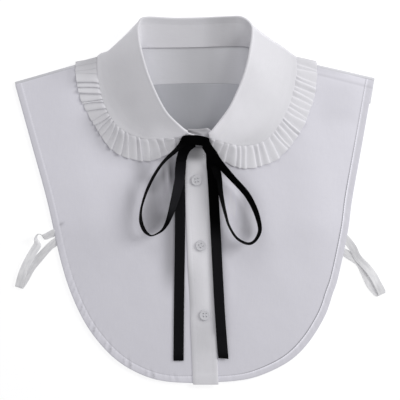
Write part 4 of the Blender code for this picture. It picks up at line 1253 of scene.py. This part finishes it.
# Bow. Black double-face satin ribbon, 11 mm wide, tied at the neck into two long loops and
# two tails, with the knot lying across the placket.
RIBBON_WIDTH = 10.8
RIBBON_ROWS, KNOT_ROWS = 120, 24
# From the knot outwards, and for a loop back again: x, y, z over what it lies on, compass angle
# and tilt of the width. The knot runs from left to right, its z over the table.
LEFT_TAIL = (
    (-7.3, 60.9, 7.6, -53.0, 0.0), (-15.2, 53.9, 6.2, -30.0, 0.0), (-18.9, 45.2, 3.2, -12.0, 0.0),
    (-20.4, 36.0, 1.4, -3.0, 0.0), (-20.9, 24.0, 0.8, 0.0, 0.0),
    (-20.9, -35.0, 0.8, 0.0, 0.0), (-21.9, -100.0, 0.8, -1.0, 0.0), (-22.5, -168.0, 0.8, 0.0, 0.0),
)
RIGHT_TAIL = (
    (4.4, 60.4, 7.4, -20.0, 44.0), (8.6, 53.6, 6.6, -12.0, 54.0), (11.2, 46.0, 4.4, -8.0, 22.0),
    (12.0, 36.0, 3.0, -5.0, 0.0), (13.4, 20.0, 2.3, -3.0, 0.0),
    (16.7, -40.0, 2.3, -3.0, 0.0), (20.7, -115.0, 2.3, -3.0, 0.0), (24.5, -165.5, 2.3, -5.0, 0.0),
)
LEFT_LOOP = (
    (-16.4, 61.4, 8.0, -50.0, 40.0), (-20.4, 56.8, 7.6, -48.0, 56.0),
    (-24.5, 52.3, 7.2, -46.0, 64.0), (-37.3, 40.7, 6.4, -44.0, 73.0),
    (-46.7, 27.6, 6.2, -30.0, 74.0), (-55.0, 11.0, 6.2, -23.0, 75.0),
    (-60.1, -4.2, 6.3, -12.0, 79.0), (-61.7, -14.1, 6.3, -2.0, 76.0),
    (-61.3, -22.4, 6.1, 11.0, 69.0), (-58.4, -30.3, 6.1, 32.0, 70.0),
    (-54.2, -34.9, 6.2, 56.0, 76.0), (-49.5, -36.6, 6.3, 90.0, 85.0),
    (-40.2, -31.8, 6.2, 132.0, 80.0), (-34.8, -24.4, 5.9, 150.0, 70.0),
    (-30.7, -14.1, 5.5, 160.0, 58.0), (-26.8, -1.0, 4.6, 164.0, 42.0),
    (-23.6, 11.0, 3.4, 167.0, 28.0), (-21.0, 23.5, 1.6, 170.0, 12.0),
    (-19.6, 41.0, 1.0, 176.0, 4.0),
)
RIGHT_LOOP = (
    (5.4, 58.8, 8.0, 42.0, 20.0), (9.6, 52.2, 6.0, 40.0, 20.0), (13.4, 47.6, 4.2, 38.0, 20.5),
    (18.8, 40.0, 5.2, 40.0, 40.5), (33.5, 23.5, 5.5, 43.0, 54.5), (48.4, 6.8, 5.6, 36.0, 57.5),
    (57.4, -9.9, 5.8, 21.0, 62.5), (61.9, -25.6, 6.1, 6.0, 70.5), (61.6, -34.0, 6.1, -15.0, 74.5),
    (56.5, -42.4, 6.3, -55.0, 78.5), (49.3, -44.9, 6.3, -90.0, 79.5),
    (38.3, -39.1, 6.3, -133.0, 79.5), (30.3, -26.6, 6.3, -156.0, 79.5),
    (26.5, -14.0, 6.2, -165.0, 75.5), (23.5, -1.6, 6.1, -168.0, 69.5),
    (21.3, 10.0, 6.1, -171.0, 62.5), (20.4, 19.5, 6.2, -172.0, 59.5),
    (19.0, 24.4, 5.4, -170.0, 46.5), (17.2, 30.4, 4.2, -168.0, 34.0),
    (15.4, 36.6, 3.4, -166.0, 20.0),
)
KNOT = (
    (-20.6, 60.6, 9.4, 60.0, 30.0), (-19.2, 62.0, 12.4, 78.0, 24.0),
    (-12.0, 62.9, 13.6, 94.0, 18.0), (-2.0, 62.6, 13.9, 92.0, 16.0),
    (7.6, 60.8, 12.8, 92.0, 22.0), (10.2, 59.8, 9.4, 100.0, 30.0),
)


def satin_finish():
    """Satin: fine threads along the ribbon, black with a soft gloss."""
    gloss = {"Roughness": 0.65, "Specular IOR Level": 0.015}
    satin, tree, shader = new_finish("black_satin", gloss)
    weave = step(tree, "UVMap", {}, uv_map="weave")["UV"]
    floats = noise(tree, stretched(tree, weave, (6.0, 0.12, 1.0)), 1.0, 3.0)
    colour = mixed(tree, floats, (0.0017, 0.0017, 0.0020, 1.0), (0.0066, 0.0066, 0.0074, 1.0))
    join_colour(tree, shader, colour)
    join_relief(tree, shader, floats, 0.00006, 0.7)
    return satin


BLACK_SATIN = satin_finish()
under_tails = ("front_panel_left", "front_panel_right", "button_placket", "collar_ruffle")
# The satin catches the light unevenly: share of the length from the knot, and tone.
LEFT_SHEEN = ((0.0, 0.06, 0.12, 0.18, 0.3, 0.96, 1.0), (0.3, 0.6, 1.8, 3.2, 2.2, 2.1, 1.0))
RIGHT_SHEEN = ((0.0, 0.38, 0.46, 0.96, 1.0), (0.3, 0.3, 2.5, 2.4, 1.0))
LOOP_SHEEN = ((0.0, 0.68, 0.76, 0.9, 1.0), (0.3, 0.3, 3.8, 3.6, 1.6))
NO_SHEEN = ((0.0, 1.0), (0.3, 0.3))
for part, rows, wall, length, sheen, over in (
    ("bow_tail_left", LEFT_TAIL, 0.5, 0.229, LEFT_SHEEN, under_tails),
    ("bow_tail_right", RIGHT_TAIL, 0.5, 0.224, RIGHT_SHEEN, under_tails),
    ("bow_loop_left", LEFT_LOOP, 0.8, 0.215, LOOP_SHEEN, under_tails + ("bow_tail_left",)),
    ("bow_loop_right", RIGHT_LOOP, 0.8, 0.215, NO_SHEEN, under_tails + ("bow_tail_right",)),
    ("bow_knot", KNOT, 1.4, 0.030, NO_SHEEN, ()),
):
    strip = ribbon_grid(rows, RIBBON_ROWS if over else KNOT_ROWS, RIBBON_WIDTH, over)
    gleam = length_tone(strip, sheen)
    ribbon = sew(part.replace("bow", "ribbon"), strip, wall, BLACK_SATIN, gleam)
    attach(ribbon, "root")
    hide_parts(part)

# Buttons. White resin, four holes in a dished middle with a raised rim, sewn on with two
# bars of white thread. The middle one is turned a little.
BUTTONS = ((-3.7, 21.0, 0.12), (0.8, -47.2, 0.55), (5.0, -120.0, 0.04))  # x, y and turn
HOLE_OUT = 1.5  # the holes' middles, across and up from the button's
DISH_HALF = 3.4  # half the width of the flat part of the dish
# The face from the dish to the edge: radius and height over the middle plane.
BUTTON_PROFILE = (
    (3.6, 0.56), (4.1, 0.6), (4.35, 0.66), (4.6, 0.72), (5.0, 0.74), (5.4, 0.66), (5.62, 0.48),
    (5.7, 0.3), (5.7, 0.0),
)
# A hole from its edge down: radius and height.
HOLE_PROFILE = ((0.84, 0.56), (0.74, 0.5), (0.68, 0.3), (0.67, 0.0))
BUTTON_THREAD = 0.16
STRANDS = (-0.3, 0.0, 0.3)  # the three strands of each bar, side by side
# One strand of thread from hole to hole: place along it, and height over the middle plane.
STRAND_PATH = ((-1.5, -0.3), (-1.15, 0.62), (1.15, 0.62), (1.5, -0.3))


def button_finish():
    """White resin, faintly clouded."""
    shine = {
        "Roughness": 0.45,
        "Specular IOR Level": 0.3,
        "Subsurface Weight": 0.1,
        "Subsurface Radius": (0.001, 0.001, 0.001),
    }
    resin, tree, shader = new_finish("white_resin", shine)
    cloud = noise(tree, step(tree, "TexCoord", {})["Object"], 260.0)
    colour = mixed(tree, cloud, (0.67, 0.67, 0.70, 1.0), (0.72, 0.72, 0.745, 1.0))
    tree.links.new(colour, shader.inputs["Base Color"])
    return resin


WHITE_RESIN = button_finish()


def rounded(corners, middle, hub, parts, radius, height):
    """Moves corners onto a circle round the hub, at even angles, as they lie round the middle."""
    for corner in corners:
        angle = math.atan2(corner.co.y - middle.y, corner.co.x - middle.x)
        angle = round(angle / (math.pi / parts)) * math.pi / parts
        corner.co = hub + Vector((math.cos(angle) * radius, math.sin(angle) * radius, height))


def draw_out(disc, ring, hub, profile):
    """Extrudes a ring of edges round the hub through the radii and heights of a profile."""
    for radius, height in profile:
        drawn = bmesh.ops.extrude_edge_only(disc, edges=ring)["geom"]
        ring = [g for g in drawn if isinstance(g, bmesh.types.BMEdge)]
        for corner in {v for e in ring for v in e.verts}:
            away = (corner.co - hub).xy.normalized() * radius
            corner.co = Vector((hub.x + away.x, hub.y + away.y, height))


def button_half(disc):
    """A four by four grid with a round hole in each quarter and the rim drawn out of its edge."""
    bmesh.ops.create_grid(disc, x_segments=4, y_segments=4, size=1.0)
    middles = [v for v in disc.verts if abs(abs(v.co.x * v.co.y) - 0.25) < 0.01]
    bmesh.ops.dissolve_verts(disc, verts=middles)
    faces = disc.faces[:]
    bmesh.ops.inset_individual(disc, faces=faces, thickness=0.1)
    holes = [(face, face.calc_center_median()) for face in faces]
    edge = [e for e in disc.edges if e.is_boundary]
    rim = {v for e in edge for v in e.verts}
    centre = Vector((0.0, 0.0, 0.0))
    rounded(rim, centre, centre, 8, *BUTTON_PROFILE[0])
    bored = {v for face, _ in holes for v in face.verts}
    for corner in disc.verts:
        if corner not in rim and corner not in bored:
            x, y, _ = corner.co * DISH_HALF
            corner.co = Vector((x, y, BUTTON_PROFILE[0][1]))
    for face, middle in holes:
        hub = Vector((math.copysign(HOLE_OUT, middle.x), math.copysign(HOLE_OUT, middle.y), 0.0))
        rounded(face.verts, middle, hub, 4, *HOLE_PROFILE[0])
        ring = list(face.edges)
        bmesh.ops.delete(disc, geom=[face], context="FACES_ONLY")
        draw_out(disc, ring, hub, HOLE_PROFILE[1:])
    draw_out(disc, edge, centre, BUTTON_PROFILE[1:])


def seated(x, y, z, turn, u, v, w):
    """A button's own point u, v, w, once it is turned and sewn on at x, y, z."""
    cos, sin = math.cos(turn), math.sin(turn)
    return x + u * cos - v * sin, y + u * sin + v * cos, z + w


for number, (x, y, turn) in enumerate(BUTTONS, start=1):
    corners = [v.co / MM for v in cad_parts[f"button_{number}"].data.vertices]
    middle = (min(v.z for v in corners) + max(v.z for v in corners)) / 2.0
    seat = (x, y, middle, turn)
    disc = bmesh.new()
    button_half(disc)
    twin = bmesh.ops.duplicate(disc, geom=disc.verts[:] + disc.edges[:] + disc.faces[:])["geom"]
    for corner in (g for g in twin if isinstance(g, bmesh.types.BMVert)):
        corner.co.z = -corner.co.z
    bmesh.ops.remove_doubles(disc, verts=disc.verts[:], dist=0.001)
    bmesh.ops.recalc_face_normals(disc, faces=disc.faces[:])
    for corner in disc.verts:
        corner.co = Vector(seated(*seat, *corner.co)) * MM
    for face in disc.faces:
        face.smooth = True
    button = add_piece(f"resin_button_{number}", disc, WHITE_RESIN)
    round_off(button, 2)
    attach(button, "root")
    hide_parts(f"button_{number}")
    paths = [
        np.array([seated(*seat, pair + strand, v, w) for v, w in STRAND_PATH])
        for pair in (-HOLE_OUT, HOLE_OUT)
        for strand in STRANDS
    ]
    thread_runs(f"button_thread_{number}", paths, radius=BUTTON_THREAD)
